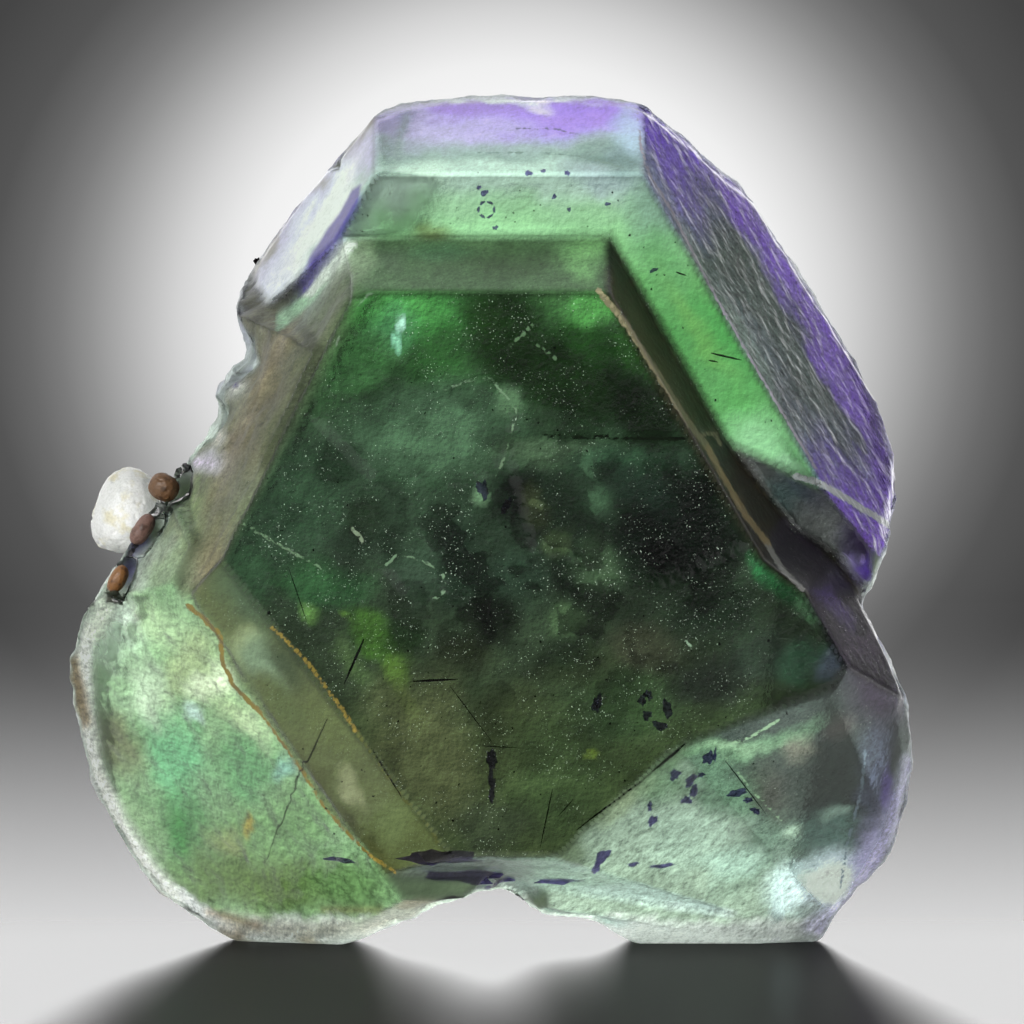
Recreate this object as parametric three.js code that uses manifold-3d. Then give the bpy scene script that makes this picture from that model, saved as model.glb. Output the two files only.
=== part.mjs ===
// Fluorite crystal: octahedral crystals with cube faces, grown in parallel and joined in one solid,
// standing on two feet that are cut flat. Four small grains of other minerals sit on its left edge.
//
// Units are millimetres. X runs to the right, Y from the front face to the back, Z up.
// The big front face is an octahedral face. Around it follow, every 60
// degrees in turn, an octahedral and a cube face, each at its own fixed slope to the front face.
import * as THREE from "three";
import { mergeVertices } from "three/addons/utils/BufferGeometryUtils.js";
import Module from "manifold-3d";

const wasm = await Module();
wasm.setup();

// ---- Driving dimensions ----
const DEPTH = 27; // front face to back face
const AXIS_HEIGHT = 21; // the growth axis runs along Y at this height above the base
const BLANK_SIZE = 120; // side of the blanks that the crystals are cut from
const GRAIN_GAP = 0.3; // clearance between a grain and the socket that it sits in
const RIM_STEPS = 3; // straight steps between two points of the rim
const OVERRUN = 1; // how far the rim's prism runs past the front and the back
const SAME_POINT = 1e-6; // two points of the outline closer than this are one
const GRAIN_DETAIL = 2; // how often the icosahedron behind a grain is divided
const LUMP_HEIGHT = 0.07; // relief of a grain, as a share of its radius
const LUMP_WAVES = new THREE.Vector3(3, 1, 2.5); // how fast the relief changes along X, Y and Z

// Slopes to the front octahedral face, fixed by the cubic lattice.
const OCTAHEDRON = Math.acos(1 / 3);
const CUBE = Math.acos(1 / Math.sqrt(3));
const DODECAHEDRON = Math.acos(Math.sqrt(2 / 3));
// Slopes of etched or broken faces, which follow no lattice plane.
const ETCHED = THREE.MathUtils.degToRad(58);
const BROKEN = THREE.MathUtils.degToRad(45);
const SPLIT = THREE.MathUtils.degToRad(47);
const STEEP = THREE.MathUtils.degToRad(72);

// A facet leans outwards in `direction`, in degrees from +X towards +Z. It leaves its crystal's
// front or back face at `reach` from the growth axis.
const facet = (direction, reach, slope) => ({ direction, reach, slope });

// The crystals in parallel growth, each set back by `start` behind the foremost front face.
const CRYSTALS = {
  foremost: {
    start: 0,
    facets: [
      facet(30, 12.8, OCTAHEDRON),
      facet(90, 14.5, CUBE),
      facet(154, 13.4, OCTAHEDRON),
      facet(216, 13.05, CUBE),
      facet(218, 11.5, DODECAHEDRON),
      facet(270, 16.2, OCTAHEDRON),
      facet(312, 14.35, BROKEN),
      facet(330, 19.6, CUBE),
    ],
  },
  // Its front face lies in the foremost one, and reaches further right.
  rightShoulder: {
    start: 0,
    facets: [
      facet(30, 13.9, OCTAHEDRON),
      facet(53, 8.9, OCTAHEDRON),
      facet(90, 6.6, CUBE),
      facet(150, 5, OCTAHEDRON),
      facet(210, 5, CUBE),
      facet(270, 16.2, OCTAHEDRON),
      facet(291, 13.1, SPLIT),
      facet(330, 19.6, CUBE),
    ],
  },
  leftShoulder: {
    start: 0.5,
    facets: [
      facet(30, 3, OCTAHEDRON),
      facet(95, 12.4, STEEP),
      facet(156, 13.6, ETCHED),
      facet(216, 13.4, CUBE),
      facet(218, 11.7, DODECAHEDRON),
      facet(270, 10, OCTAHEDRON),
    ],
  },
  top: {
    start: 4.4,
    facets: [
      facet(30, 17.8, OCTAHEDRON),
      facet(90, 21, CUBE),
      facet(150, 16, OCTAHEDRON),
      facet(210, 8.3, CUBE),
      facet(243, -11.6, BROKEN),
      facet(270, 8.3, OCTAHEDRON),
      facet(330, 16.5, CUBE),
    ],
  },
  lowerLeft: {
    start: 2.4,
    facets: [
      facet(30, 5.5, OCTAHEDRON),
      facet(90, 1, CUBE),
      facet(156, 15.4, ETCHED),
      facet(216, 14.75, CUBE),
      facet(270, 18.6, OCTAHEDRON),
      facet(330, 8.3, CUBE),
    ],
  },
  lowerRight: {
    start: 3.4,
    facets: [
      facet(30, 12, OCTAHEDRON),
      facet(90, 0, CUBE),
      facet(150, 5.5, OCTAHEDRON),
      facet(210, 5.5, CUBE),
      facet(270, 18.4, OCTAHEDRON),
      facet(300, 15.4, DODECAHEDRON),
      facet(330, 18.4, CUBE),
      facet(0, 20.3, ETCHED),
    ],
  },
};

// All crystals share the faces around the back.
const BACK_FACETS = [
  facet(30, 20.7, CUBE),
  facet(90, 21.3, OCTAHEDRON),
  facet(150, 12.8, CUBE),
  facet(170, 16.2, ETCHED),
  facet(210, 23, OCTAHEDRON),
  facet(270, 17.5, CUBE),
  facet(330, 23.4, OCTAHEDRON),
  facet(355, 16, ETCHED),
];

// The rough rim, clockwise from the upper left, as [x, z]. Each stretch is one smooth curve, and
// two stretches meet in a corner. The straight ends at z = 0 are the two flat feet.
const RIM = {
  top: [[-6.6, 45.5], [-4.9, 46.3], [0.6, 46.8], [7.4, 46.5], [9.6, 45.5], [12.9, 42.7]],
  rightFlank: [[12.9, 42.7], [14.7, 41.2], [17.4, 36.9], [19.9, 33], [22.2, 28.8], [22.8, 24.3], [20.6, 18.6]],
  rightLobe: [[20.6, 18.6], [22.8, 13.9], [23.3, 9.8], [22.5, 5.6], [20.1, 2.3], [18, 0]],
  betweenFeet: [[8, 0], [5.5, 1.1], [2.9, 1.5], [0.5, 2.9], [-2.4, 2], [-5.2, 0.9], [-8, 0]],
  leftLobe: [[-14, 0], [-18.4, 2.4], [-21.7, 7.3], [-23.3, 13.9], [-22.5, 18.3], [-18.7, 23.8], [-17.7, 25.7]],
  lowerLump: [[-17.7, 25.7], [-16.6, 27.2], [-15.3, 29]],
  upperLump: [[-15.3, 29], [-15.6, 30.2], [-14.5, 31.9], [-13.6, 32.1]],
  leftFlank: [[-13.6, 32.1], [-14, 33.8], [-13.9, 35.9], [-11, 40.5], [-8.8, 43], [-6.6, 45.5]],
};

// The grains: `radii` before the grain is tilted about Y, and `at` measured from the front face.
const GRAINS = [
  { name: "nodule_left", radii: [2, 2.2, 2.65], tilt: 0.35, at: [-20, 11.4, 23.7], colour: 0xe9efe6 },
  { name: "grain_brown", radii: [0.95, 0.8, 0.85], tilt: 0.5, at: [-17.8, 7.2, 25], colour: 0x8a6a48 },
  { name: "grain_rose", radii: [0.6, 0.6, 1.05], tilt: 0.6, at: [-18.95, 6.7, 22.7], colour: 0x9a7564 },
  { name: "grain_orange", radii: [0.5, 0.5, 0.85], tilt: 0.5, at: [-20.3, 7.1, 20], colour: 0xa4703c },
];

// ---- Solids ----
function toSolid(geometry) {
  const bare = geometry.clone();
  bare.deleteAttribute("normal");
  bare.deleteAttribute("uv");
  const merged = mergeVertices(bare);
  return new wasm.Manifold(
    new wasm.Mesh({
      numProp: 3,
      vertProperties: new Float32Array(merged.attributes.position.array),
      triVerts: new Uint32Array(merged.index.array),
    }),
  );
}

function toGeometry(solid) {
  const { vertProperties, triVerts } = solid.getMesh();
  const geometry = new THREE.BufferGeometry();
  geometry.setAttribute("position", new THREE.BufferAttribute(vertProperties, 3));
  geometry.setIndex(new THREE.BufferAttribute(triVerts, 1));
  geometry.computeVertexNormals();
  return geometry;
}

// A block that fills everything beyond the plane through `point` with the outward `normal`.
function blockBeyond(point, normal) {
  const block = new THREE.BoxGeometry(BLANK_SIZE, BLANK_SIZE, BLANK_SIZE);
  block.translate(0, 0, BLANK_SIZE / 2);
  block.applyQuaternion(new THREE.Quaternion().setFromUnitVectors(new THREE.Vector3(0, 0, 1), normal));
  block.translate(point.x, point.y, point.z);
  return toSolid(block);
}

// `facing` is -1 for the facets around a front face, and +1 for those around the back face.
function cutFacets(solid, facets, y, facing) {
  return facets.reduce((rest, { direction, reach, slope }) => {
    const angle = THREE.MathUtils.degToRad(direction);
    const outwards = new THREE.Vector3(Math.cos(angle), 0, Math.sin(angle));
    const point = outwards.clone().multiplyScalar(reach).add(new THREE.Vector3(0, y, AXIS_HEIGHT));
    const normal = outwards.multiplyScalar(Math.sin(slope));
    normal.y = facing * Math.cos(slope);
    return rest.subtract(blockBeyond(point, normal));
  }, solid);
}

// One crystal, from its front face to the common back face.
function crystal({ start, facets }) {
  const blank = new THREE.BoxGeometry(BLANK_SIZE, DEPTH - start, BLANK_SIZE);
  blank.translate(0, (DEPTH + start) / 2, AXIS_HEIGHT);
  return cutFacets(toSolid(blank), facets, start, -1);
}

// Everything inside the rim, from in front of the crystals to behind them.
function rimPrism() {
  const outline = Object.values(RIM).flatMap((stretch) => {
    const curve = new THREE.SplineCurve(stretch.map(([x, z]) => new THREE.Vector2(x, z)));
    return curve.getPoints((stretch.length - 1) * RIM_STEPS);
  });
  // Two stretches that meet share a corner, which the outline has only once.
  const corners = outline.filter((point, i) => point.distanceTo(outline.at(i - 1)) > SAME_POINT);
  const prism = new THREE.ExtrudeGeometry(new THREE.Shape(corners), {
    depth: DEPTH + 2 * OVERRUN,
    bevelEnabled: false,
  });
  prism.rotateX(Math.PI / 2);
  prism.translate(0, DEPTH + OVERRUN, 0);
  return toSolid(prism);
}

// A rounded, slightly lumpy grain, or with a `margin` the socket that it sits in.
function pebble({ radii, tilt, at }, margin = 0) {
  const shape = new THREE.IcosahedronGeometry(1, GRAIN_DETAIL);
  const position = shape.attributes.position;
  const size = new THREE.Vector3(...radii);
  const point = new THREE.Vector3();
  for (let i = 0; i < position.count; i += 1) {
    point.fromBufferAttribute(position, i);
    const wave = point.clone().multiply(LUMP_WAVES);
    const lump = LUMP_HEIGHT * Math.sin(wave.x + 1) * Math.cos(wave.z + wave.y);
    const sized = point.clone().multiply(size).multiplyScalar(1 + lump);
    sized.addScaledVector(point, margin);
    position.setXYZ(i, sized.x, sized.y, sized.z);
  }
  shape.rotateY(tilt);
  shape.translate(...at);
  return toSolid(shape);
}

function fluorite() {
  const grown = Object.values(CRYSTALS).map(crystal).reduce((joined, next) => joined.add(next));
  const trimmed = cutFacets(grown, BACK_FACETS, DEPTH, 1).intersect(rimPrism());
  return GRAINS.reduce((rest, grain) => rest.subtract(pebble(grain, GRAIN_GAP)), trimmed);
}

// A grain gives way to the grains after it in the list, which sit on top of it.
function seatedGrain(grain, i) {
  const above = GRAINS.slice(i + 1);
  return above.reduce((rest, next) => rest.subtract(pebble(next, GRAIN_GAP)), pebble(grain));
}

// ---- Scene graph ----
function node(name, solid, look) {
  const mesh = new THREE.Mesh(toGeometry(solid), new THREE.MeshStandardMaterial(look));
  mesh.name = name;
  return mesh;
}

const part = new THREE.Group();
part.add(node("fluorite_crystal", fluorite(), { color: 0x5f8f6a, roughness: 0.25, metalness: 0 }));
GRAINS.forEach((grain, i) => {
  part.add(node(grain.name, seatedGrain(grain, i), { color: grain.colour, roughness: 0.6, metalness: 0 }));
});

// The origin is the middle of the base of the whole part's box.
const box = new THREE.Box3().setFromObject(part);
const middle = box.getCenter(new THREE.Vector3());
part.position.set(-middle.x, -middle.y, -box.min.z);

export default part;
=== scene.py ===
import math

import bmesh
import bpy
import numpy as np
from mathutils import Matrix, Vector
from mathutils.bvhtree import BVHTree


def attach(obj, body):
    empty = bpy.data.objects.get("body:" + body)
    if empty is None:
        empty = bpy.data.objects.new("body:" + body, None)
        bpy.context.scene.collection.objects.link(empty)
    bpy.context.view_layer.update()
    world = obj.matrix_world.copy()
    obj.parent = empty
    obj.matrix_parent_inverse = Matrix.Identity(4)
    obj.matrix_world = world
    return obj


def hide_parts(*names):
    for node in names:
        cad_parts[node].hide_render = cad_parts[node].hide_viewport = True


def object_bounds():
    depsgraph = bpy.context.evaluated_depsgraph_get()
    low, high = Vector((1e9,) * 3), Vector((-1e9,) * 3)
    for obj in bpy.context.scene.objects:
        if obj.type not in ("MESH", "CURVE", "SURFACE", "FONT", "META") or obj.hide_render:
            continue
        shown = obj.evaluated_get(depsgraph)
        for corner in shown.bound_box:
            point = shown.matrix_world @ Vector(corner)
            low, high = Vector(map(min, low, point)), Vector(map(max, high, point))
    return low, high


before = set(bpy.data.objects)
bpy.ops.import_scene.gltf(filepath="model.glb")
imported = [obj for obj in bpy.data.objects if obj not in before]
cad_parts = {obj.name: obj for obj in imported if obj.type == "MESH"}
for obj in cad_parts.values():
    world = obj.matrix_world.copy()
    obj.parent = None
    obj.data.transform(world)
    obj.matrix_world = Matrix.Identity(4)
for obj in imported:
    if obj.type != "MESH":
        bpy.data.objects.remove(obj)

# Fluorite crystal, lit from behind. Lengths below are millimetres in the part's own frame, and MM
# turns them into Blender's metres. X runs right, Y from the front face to the back, Z up.
# A place on the front is given as (x, z). A direction is in degrees from +X towards +Z.
MM = 0.001
CAD_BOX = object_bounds()
CRYSTAL = "fluorite_crystal"
FRONT_Y, BACK_Y = (corner[1] / MM for corner in CAD_BOX)
AXIS_Z = 21.0  # height of the growth axis

# Slopes of the crystal faces to the front octahedral face, in degrees.
OCTAHEDRON = math.degrees(math.acos(1 / 3))
CUBE = math.degrees(math.acos(1 / math.sqrt(3)))
DODECAHEDRON = math.degrees(math.acos(math.sqrt(2 / 3)))
ETCHED = 58
BROKEN = 45
SPLIT = 47

# The crystal's mesh
VOXEL = 0.22
MOST_TRIANGLES = 196000
FINE_SLOPE = -0.2  # faces whose normal has less Y than this keep all their triangles

# The studio
CAMERA_DISTANCE = 800
CAMERA_TARGET = (1.2, 23.65)  # X and Z of the middle of the view
CAMERA_REACH = 20  # metres
VIEW_WIDTH = 56.3  # width that the camera sees at the middle of the crystal
SENSOR = 36


# ---- Small helpers ----
def to_linear(rgb):
    """Colour of 0 to 255 as it looks on screen, in linear light."""
    c = np.asarray(rgb, float) / 255
    return np.where(c <= 0.04045, c / 12.92, ((c + 0.055) / 1.055) ** 2.4)


def opaque(colour):
    return (*to_linear(colour), 1)


def smooth(low, high, value):
    """0 where the value is at `low`, 1 at `high`, and a soft step between them."""
    t = np.clip((value - low) / (high - low), 0, 1)
    return t * t * (3 - 2 * t)


def lattice(ix, iy, iz, seed):
    """A fixed random number from 0 to 1 for each point of a whole-number lattice."""
    with np.errstate(over="ignore"):
        h = (
            ix.astype(np.uint32) * np.uint32(374761393)
            + iy.astype(np.uint32) * np.uint32(668265263)
            + iz.astype(np.uint32) * np.uint32(2147483647)
            + np.uint32(seed) * np.uint32(1274126177)
        )
        h = (h ^ (h >> np.uint32(13))) * np.uint32(1274126177)
        h = (h ^ (h >> np.uint32(16))) * np.uint32(2246822519)
    return (h ^ (h >> np.uint32(15))).astype(float) / 4294967295


def value_noise(points, size, seed):
    """Smooth noise from -1 to 1 whose lumps are about `size` across."""
    q = points / size + 1000
    cell = np.floor(q).astype(np.int64)
    t = q - cell
    t = t * t * (3 - 2 * t)
    total = 0
    for dx in (0, 1):
        for dy in (0, 1):
            for dz in (0, 1):
                weight = (
                    (t[:, 0] if dx else 1 - t[:, 0])
                    * (t[:, 1] if dy else 1 - t[:, 1])
                    * (t[:, 2] if dz else 1 - t[:, 2])
                )
                total = total + weight * lattice(cell[:, 0] + dx, cell[:, 1] + dy, cell[:, 2] + dz, seed)
    return total * 2 - 1


def fractal(points, size, seed, octaves=4):
    total, gain = 0, 1
    for octave in range(octaves):
        total = total + gain * value_noise(points, size / 2**octave, seed + octave)
        gain *= 0.5
    return total / 1.5


def gradient(value, stops):
    """Colour along `stops`, a list of (value, colour) in rising order."""
    places = [place for place, _ in stops]
    colours = to_linear([colour for _, colour in stops])
    return np.stack([np.interp(value, places, colours[:, i]) for i in range(3)], axis=1)


def link(obj):
    bpy.context.scene.collection.objects.link(obj)
    return obj


def coordinates(mesh):
    flat = np.empty(len(mesh.vertices) * 3, np.float32)
    mesh.vertices.foreach_get("co", flat)
    return flat.reshape(-1, 3).astype(float)


def set_coordinates(mesh, points):
    mesh.vertices.foreach_set("co", points.astype(np.float32).ravel())
    mesh.update()


def normals(mesh):
    flat = np.empty(len(mesh.vertices) * 3, np.float32)
    mesh.vertex_normals.foreach_get("vector", flat)
    return flat.reshape(-1, 3).astype(float)


def shade_smooth(mesh):
    mesh.polygons.foreach_set("use_smooth", np.ones(len(mesh.polygons), bool))
    mesh.update()


def new_piece(name, node):
    """A copy of a CAD node's mesh, as the start of the piece that replaces it."""
    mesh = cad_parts[node].data.copy()
    mesh.name = name
    mesh.materials.clear()
    piece = link(bpy.data.objects.new(name, mesh))
    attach(piece, "root")
    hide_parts(node)
    return piece


def only_selected(obj):
    for other in bpy.context.selected_objects:
        other.select_set(False)
    obj.select_set(True)
    bpy.context.view_layer.objects.active = obj


def facing(direction, slope):
    """Outward normal of a front facet that leans towards `direction`."""
    a, s = math.radians(direction), math.radians(slope)
    return np.array([math.cos(a) * math.sin(s), -math.cos(s), math.sin(a) * math.sin(s)])


def towards(direction, x, z):
    """Distance from the growth axis, measured towards `direction`."""
    a = math.radians(direction)
    return x * math.cos(a) + (z - AXIS_Z) * math.sin(a)


def distance_to_line(x, z, corners):
    """Distance from each place to the line through `corners`."""
    nearest = np.full(len(x), 1e9)
    for (x0, z0), (x1, z1) in zip(corners, corners[1:]):
        dx, dz = x1 - x0, z1 - z0
        t = np.clip(((x - x0) * dx + (z - z0) * dz) / (dx * dx + dz * dz), 0, 1)
        nearest = np.minimum(nearest, np.hypot(x - x0 - t * dx, z - z0 - t * dz))
    return nearest


def depth_inside(x, z, corners):
    """How far each place lies inside the closed outline, negative outside."""
    inside = np.zeros(len(x), bool)
    closed = corners + corners[:1]
    for (x0, z0), (x1, z1) in zip(closed, closed[1:]):
        if z0 == z1:
            continue
        crosses = ((z0 > z) != (z1 > z)) & (x < (x1 - x0) * (z - z0) / (z1 - z0) + x0)
        inside ^= crosses
    distance = distance_to_line(x, z, closed)
    return np.where(inside, distance, -distance)


# ---- Shader nodes ----
class Nodes:
    """Short calls that add and link the nodes of a world or a material. Sizes are millimetres."""

    def __init__(self, owner):
        owner.use_nodes = True
        self.nodes = owner.node_tree.nodes
        self.links = owner.node_tree.links

    def fill(self, node, inputs):
        """Links each input that is a socket, and sets each that is a number or a colour."""
        for key, value in inputs.items():
            if isinstance(value, bpy.types.NodeSocket):
                self.links.new(value, node.inputs[key])
            else:
                node.inputs[key].default_value = value

    def add(self, kind, inputs=None, **settings):
        node = self.nodes.new(kind)
        for name, value in settings.items():
            setattr(node, name, value)
        self.fill(node, inputs or {})
        return node

    def vector(self, operation, inputs, output="Vector"):
        return self.add("ShaderNodeVectorMath", inputs, operation=operation).outputs[output]

    def math(self, operation, a, b=0.0, clamp=False):
        return self.add("ShaderNodeMath", {0: a, 1: b}, operation=operation, use_clamp=clamp).outputs[0]

    def times(self, a, b):
        return self.math("MULTIPLY", a, b)

    def step(self, value, low, high):
        inputs = {"Value": value, "From Min": low, "From Max": high}
        return self.add("ShaderNodeMapRange", inputs, interpolation_type="SMOOTHSTEP").outputs[0]

    def mapped(self, value, low, high, to_low, to_high):
        inputs = {"Value": value, "From Min": low, "From Max": high, "To Min": to_low, "To Max": to_high}
        return self.add("ShaderNodeMapRange", inputs).outputs[0]

    def mix(self, factor, a, b):
        return self.add("ShaderNodeMix", {0: factor, 6: a, 7: b}, data_type="RGBA").outputs[2]


class Material(Nodes):
    """A Principled material, with noise, and ripples that paint shade and highlight, to feed it."""

    def __init__(self, name):
        self.material = bpy.data.materials.new(name)
        super().__init__(self.material)
        self.shader = self.nodes["Principled BSDF"]
        self.output = self.nodes["Material Output"]
        self.mm = self.scaled(self.add("ShaderNodeTexCoord").outputs["Object"], 1 / MM)

    def value(self, name):
        return self.add("ShaderNodeAttribute", attribute_name=name).outputs["Fac"]

    def colour(self, name):
        return self.add("ShaderNodeAttribute", attribute_name=name).outputs["Color"]

    def scaled(self, colour, factor):
        return self.vector("SCALE", {0: colour, "Scale": factor})

    def at_most_white(self, colour):
        return self.vector("MINIMUM", {0: colour, 1: (1, 1, 1)})

    def noise(self, size, detail=2.0, turn=0.0, stretch=1.0, shift=(0, 0, 0)):
        """Noise from 0 to 1. `stretch` draws its lumps out along the direction `turn`."""
        place = self.mm
        if stretch != 1 or shift != (0, 0, 0):
            inputs = {
                "Vector": place,
                "Location": [-step for step in shift],
                "Rotation": (0, -math.radians(turn), 0),
                "Scale": (stretch, 1, 1),
            }
            place = self.add("ShaderNodeMapping", inputs, vector_type="TEXTURE").outputs[0]
        inputs = {"Vector": place, "Scale": 1 / size, "Detail": detail}
        return self.add("ShaderNodeTexNoise", inputs).outputs["Fac"]

    def ripples(self, size, detail, turn, stretch):
        """Painted shade and highlight of ripples lit from the upper left, from -1 to 1, and their height
        from 0 to 1.
        """
        step = 0.3 * size
        height = self.noise(size, detail, turn, stretch)
        beside = self.noise(size, detail, turn, stretch, (-step * 0.6, 0, step * 0.8))
        return self.times(self.math("SUBTRACT", height, beside), 5.0), height

    def bump(self, height, distance):
        bump = self.add("ShaderNodeBump", {"Height": height, "Distance": distance * MM, "Strength": 1.0})
        self.fill(self.shader, {"Normal": bump.outputs[0]})


# ---- Camera, light and floor ----
def make_camera():
    data = bpy.data.cameras.new("camera")
    data.sensor_width = SENSOR
    data.lens = SENSOR * CAMERA_DISTANCE / VIEW_WIDTH
    data.clip_end = CAMERA_REACH
    camera = link(bpy.data.objects.new("camera", data))
    camera.location = (CAMERA_TARGET[0] * MM, -CAMERA_DISTANCE * MM, CAMERA_TARGET[1] * MM)
    camera.rotation_euler = (math.radians(90), 0, 0)
    bpy.context.scene.camera = camera


def soft_light(name, place, size, radiance):
    """A round soft box at `place`, aimed at the crystal."""
    data = bpy.data.lights.new(name, "AREA")
    data.shape = "DISK"
    data.size = size * MM
    data.energy = radiance * math.pi * math.pi * (size * MM / 2) ** 2
    light = link(bpy.data.objects.new(name, data))
    light.location = Vector(place) * MM
    target = Vector((0, 0, AXIS_Z * MM))
    light.rotation_euler = (target - light.location).to_track_quat("-Z", "Y").to_euler()
    light.visible_camera = False
    return light


# The glow behind the crystal: how far off its middle, as the sine of the angle, and how bright.
GLOW_MIDDLE = (0, 1, 0.0132)
GLOW_FLATTENING = 1.07
GLOW_REACH = 0.08
BACKDROP = [
    (0.0, 0.98), (0.2, 0.92), (0.236, 0.87), (0.26, 0.77), (0.287, 0.65), (0.312, 0.52), (0.338, 0.392),
    (0.363, 0.283), (0.388, 0.2), (0.414, 0.142), (0.45, 0.09), (0.52, 0.06), (0.7, 0.07), (1.0, 0.3),
]
GLOW_EDGE = 1.2  # as a share of the reach: past it only the room is seen
ROOM = (0.12, 1.25)  # brightness of the room in front of the crystal, and of what is wide behind it
ROOM_TURN = (-0.2, 0.5)  # Y of the direction in which the one gives way to the other
# A dark screen, high on the right behind the crystal, that the steep right faces mirror.
SCREEN = {"towards": (0.654, 0.695, 0.299), "inside": 0.978, "outside": 0.93, "left": 0.12}


def make_world():
    """A bright glow behind the crystal that falls off to grey, in an even grey room."""
    world = bpy.data.worlds.new("studio")
    bpy.context.scene.world = world
    n = Nodes(world)
    direction = n.add("ShaderNodeTexCoord").outputs["Generated"]
    offset = n.vector("SUBTRACT", {0: direction, 1: GLOW_MIDDLE})
    scale = (1 / GLOW_REACH, 1 / GLOW_REACH, GLOW_FLATTENING / GLOW_REACH)
    away = n.vector("LENGTH", {0: n.vector("MULTIPLY", {0: offset, 1: scale})}, "Value")
    ramp = n.add("ShaderNodeValToRGB", {0: away})
    elements = ramp.color_ramp.elements
    for _ in BACKDROP[2:]:
        elements.new(0.5)
    for element, (position, grey) in zip(elements, BACKDROP):
        element.position = position
        element.color = (grey, grey, grey, 1)
    split = n.add("ShaderNodeSeparateXYZ", {0: direction})
    room = n.mapped(split.outputs["Y"], *ROOM_TURN, *ROOM)
    beside = n.vector("DOT_PRODUCT", {0: direction, 1: SCREEN["towards"]}, "Value")
    screen = n.mapped(beside, SCREEN["outside"], SCREEN["inside"], 1.0, SCREEN["left"])
    is_wide = n.math("GREATER_THAN", away, GLOW_EDGE)
    light = n.mix(is_wide, ramp.outputs[0], n.math("MULTIPLY", room, screen))
    n.fill(n.nodes["Background"], {0: light})


FLOOR_HALF = 3000
FLOOR_FADE = 500  # how far back the floor fades into the backdrop
FLOOR_GREY = 0.05
FLOOR_GLOSS = 0.07  # share of the light that the floor mirrors
FLOOR_BLUR = 0.12


def make_floor():
    """A satin table top that fades into the backdrop. The low light behind makes it look pale."""
    half = FLOOR_HALF * MM
    corners = [(-half, -half, 0), (half, -half, 0), (half, half, 0), (-half, half, 0)]
    mesh = bpy.data.meshes.new("floor")
    mesh.from_pydata(corners, [], [(0, 1, 2, 3)])
    floor = link(bpy.data.objects.new("floor", mesh))
    paint = Material("floor")
    matte = paint.add("ShaderNodeBsdfDiffuse", {"Color": (FLOOR_GREY, FLOOR_GREY, FLOOR_GREY, 1)})
    mirror = paint.add("ShaderNodeBsdfAnisotropic", {"Roughness": FLOOR_BLUR})
    satin = paint.add("ShaderNodeMixShader", {0: FLOOR_GLOSS, 1: matte.outputs[0], 2: mirror.outputs[0]})
    across = paint.add("ShaderNodeSeparateXYZ", {0: paint.mm})
    back = paint.math("MAXIMUM", across.outputs["Y"], 0.0)
    fade = paint.math("SUBTRACT", 1.0, paint.math("EXPONENT", paint.math("MULTIPLY", back, -1 / FLOOR_FADE)))
    clear = paint.add("ShaderNodeBsdfTransparent")
    blend = paint.add("ShaderNodeMixShader", {0: fade, 1: satin.outputs[0], 2: clear.outputs[0]})
    paint.fill(paint.output, {"Surface": blend.outputs[0]})
    mesh.materials.append(paint.material)
    return floor


def light_only(light, objects):
    """Lets `light` shine on these objects and on nothing else."""
    lit = bpy.data.collections.new(light.name + "_lit")
    for obj in objects:
        lit.objects.link(obj)
    light.light_linking.receiver_collection = lit


# Height over the horizon and width in degrees
FLOOR_SUN = {"energy": 1750, "height": 1.5, "width": 2.0}


def make_floor_sun(floor):
    """A low light from behind that shines on the floor, and casts the crystal's soft shadow forward."""
    data = bpy.data.lights.new("floor_sun", "SUN")
    data.energy = FLOOR_SUN["energy"]
    data.angle = math.radians(FLOOR_SUN["width"])
    sun = link(bpy.data.objects.new("floor_sun", data))
    sun.rotation_euler = (math.radians(90 - FLOOR_SUN["height"]), 0, math.radians(180))
    sun.visible_glossy = False
    light_only(sun, [floor])


# ---- The crystal's shape ----
def smooth_vertices(mesh, values, rounds, keep=0.0):
    """Averages a value per vertex with its neighbours, `rounds` times."""
    edges = np.empty(len(mesh.edges) * 2, np.int32)
    mesh.edges.foreach_get("vertices", edges)
    a, b = edges.reshape(-1, 2).T
    flat = values.ndim == 1
    out = values[:, None] if flat else values
    count = np.bincount(a, minlength=len(out)) + np.bincount(b, minlength=len(out))
    for _ in range(rounds):
        total = np.stack(
            [
                np.bincount(a, out[b, i], len(out)) + np.bincount(b, out[a, i], len(out))
                for i in range(out.shape[1])
            ],
            axis=1,
        )
        out = keep * out + (1 - keep) * total / count[:, None]
    return out[:, 0] if flat else out


WALL = 0.03  # the normals of the walls have less Y than this
UNDERSIDE = -0.99  # and those of the underside have less Z than this
FACES_FRONT = -0.99  # the normals of the faces that look straight at the camera have less Y than this
FRONT_FACETS = -0.05  # and so do those of all the facets in front
BIG_FACE_DEPTH = 1.5  # the big face lies nearer than this to the foremost point
UPPER_FACE_DEPTH = 3  # and the upper face lies farther back than this
SAME_FACET = 0.999  # cosine of the angle within which two normals belong to one facet


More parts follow.
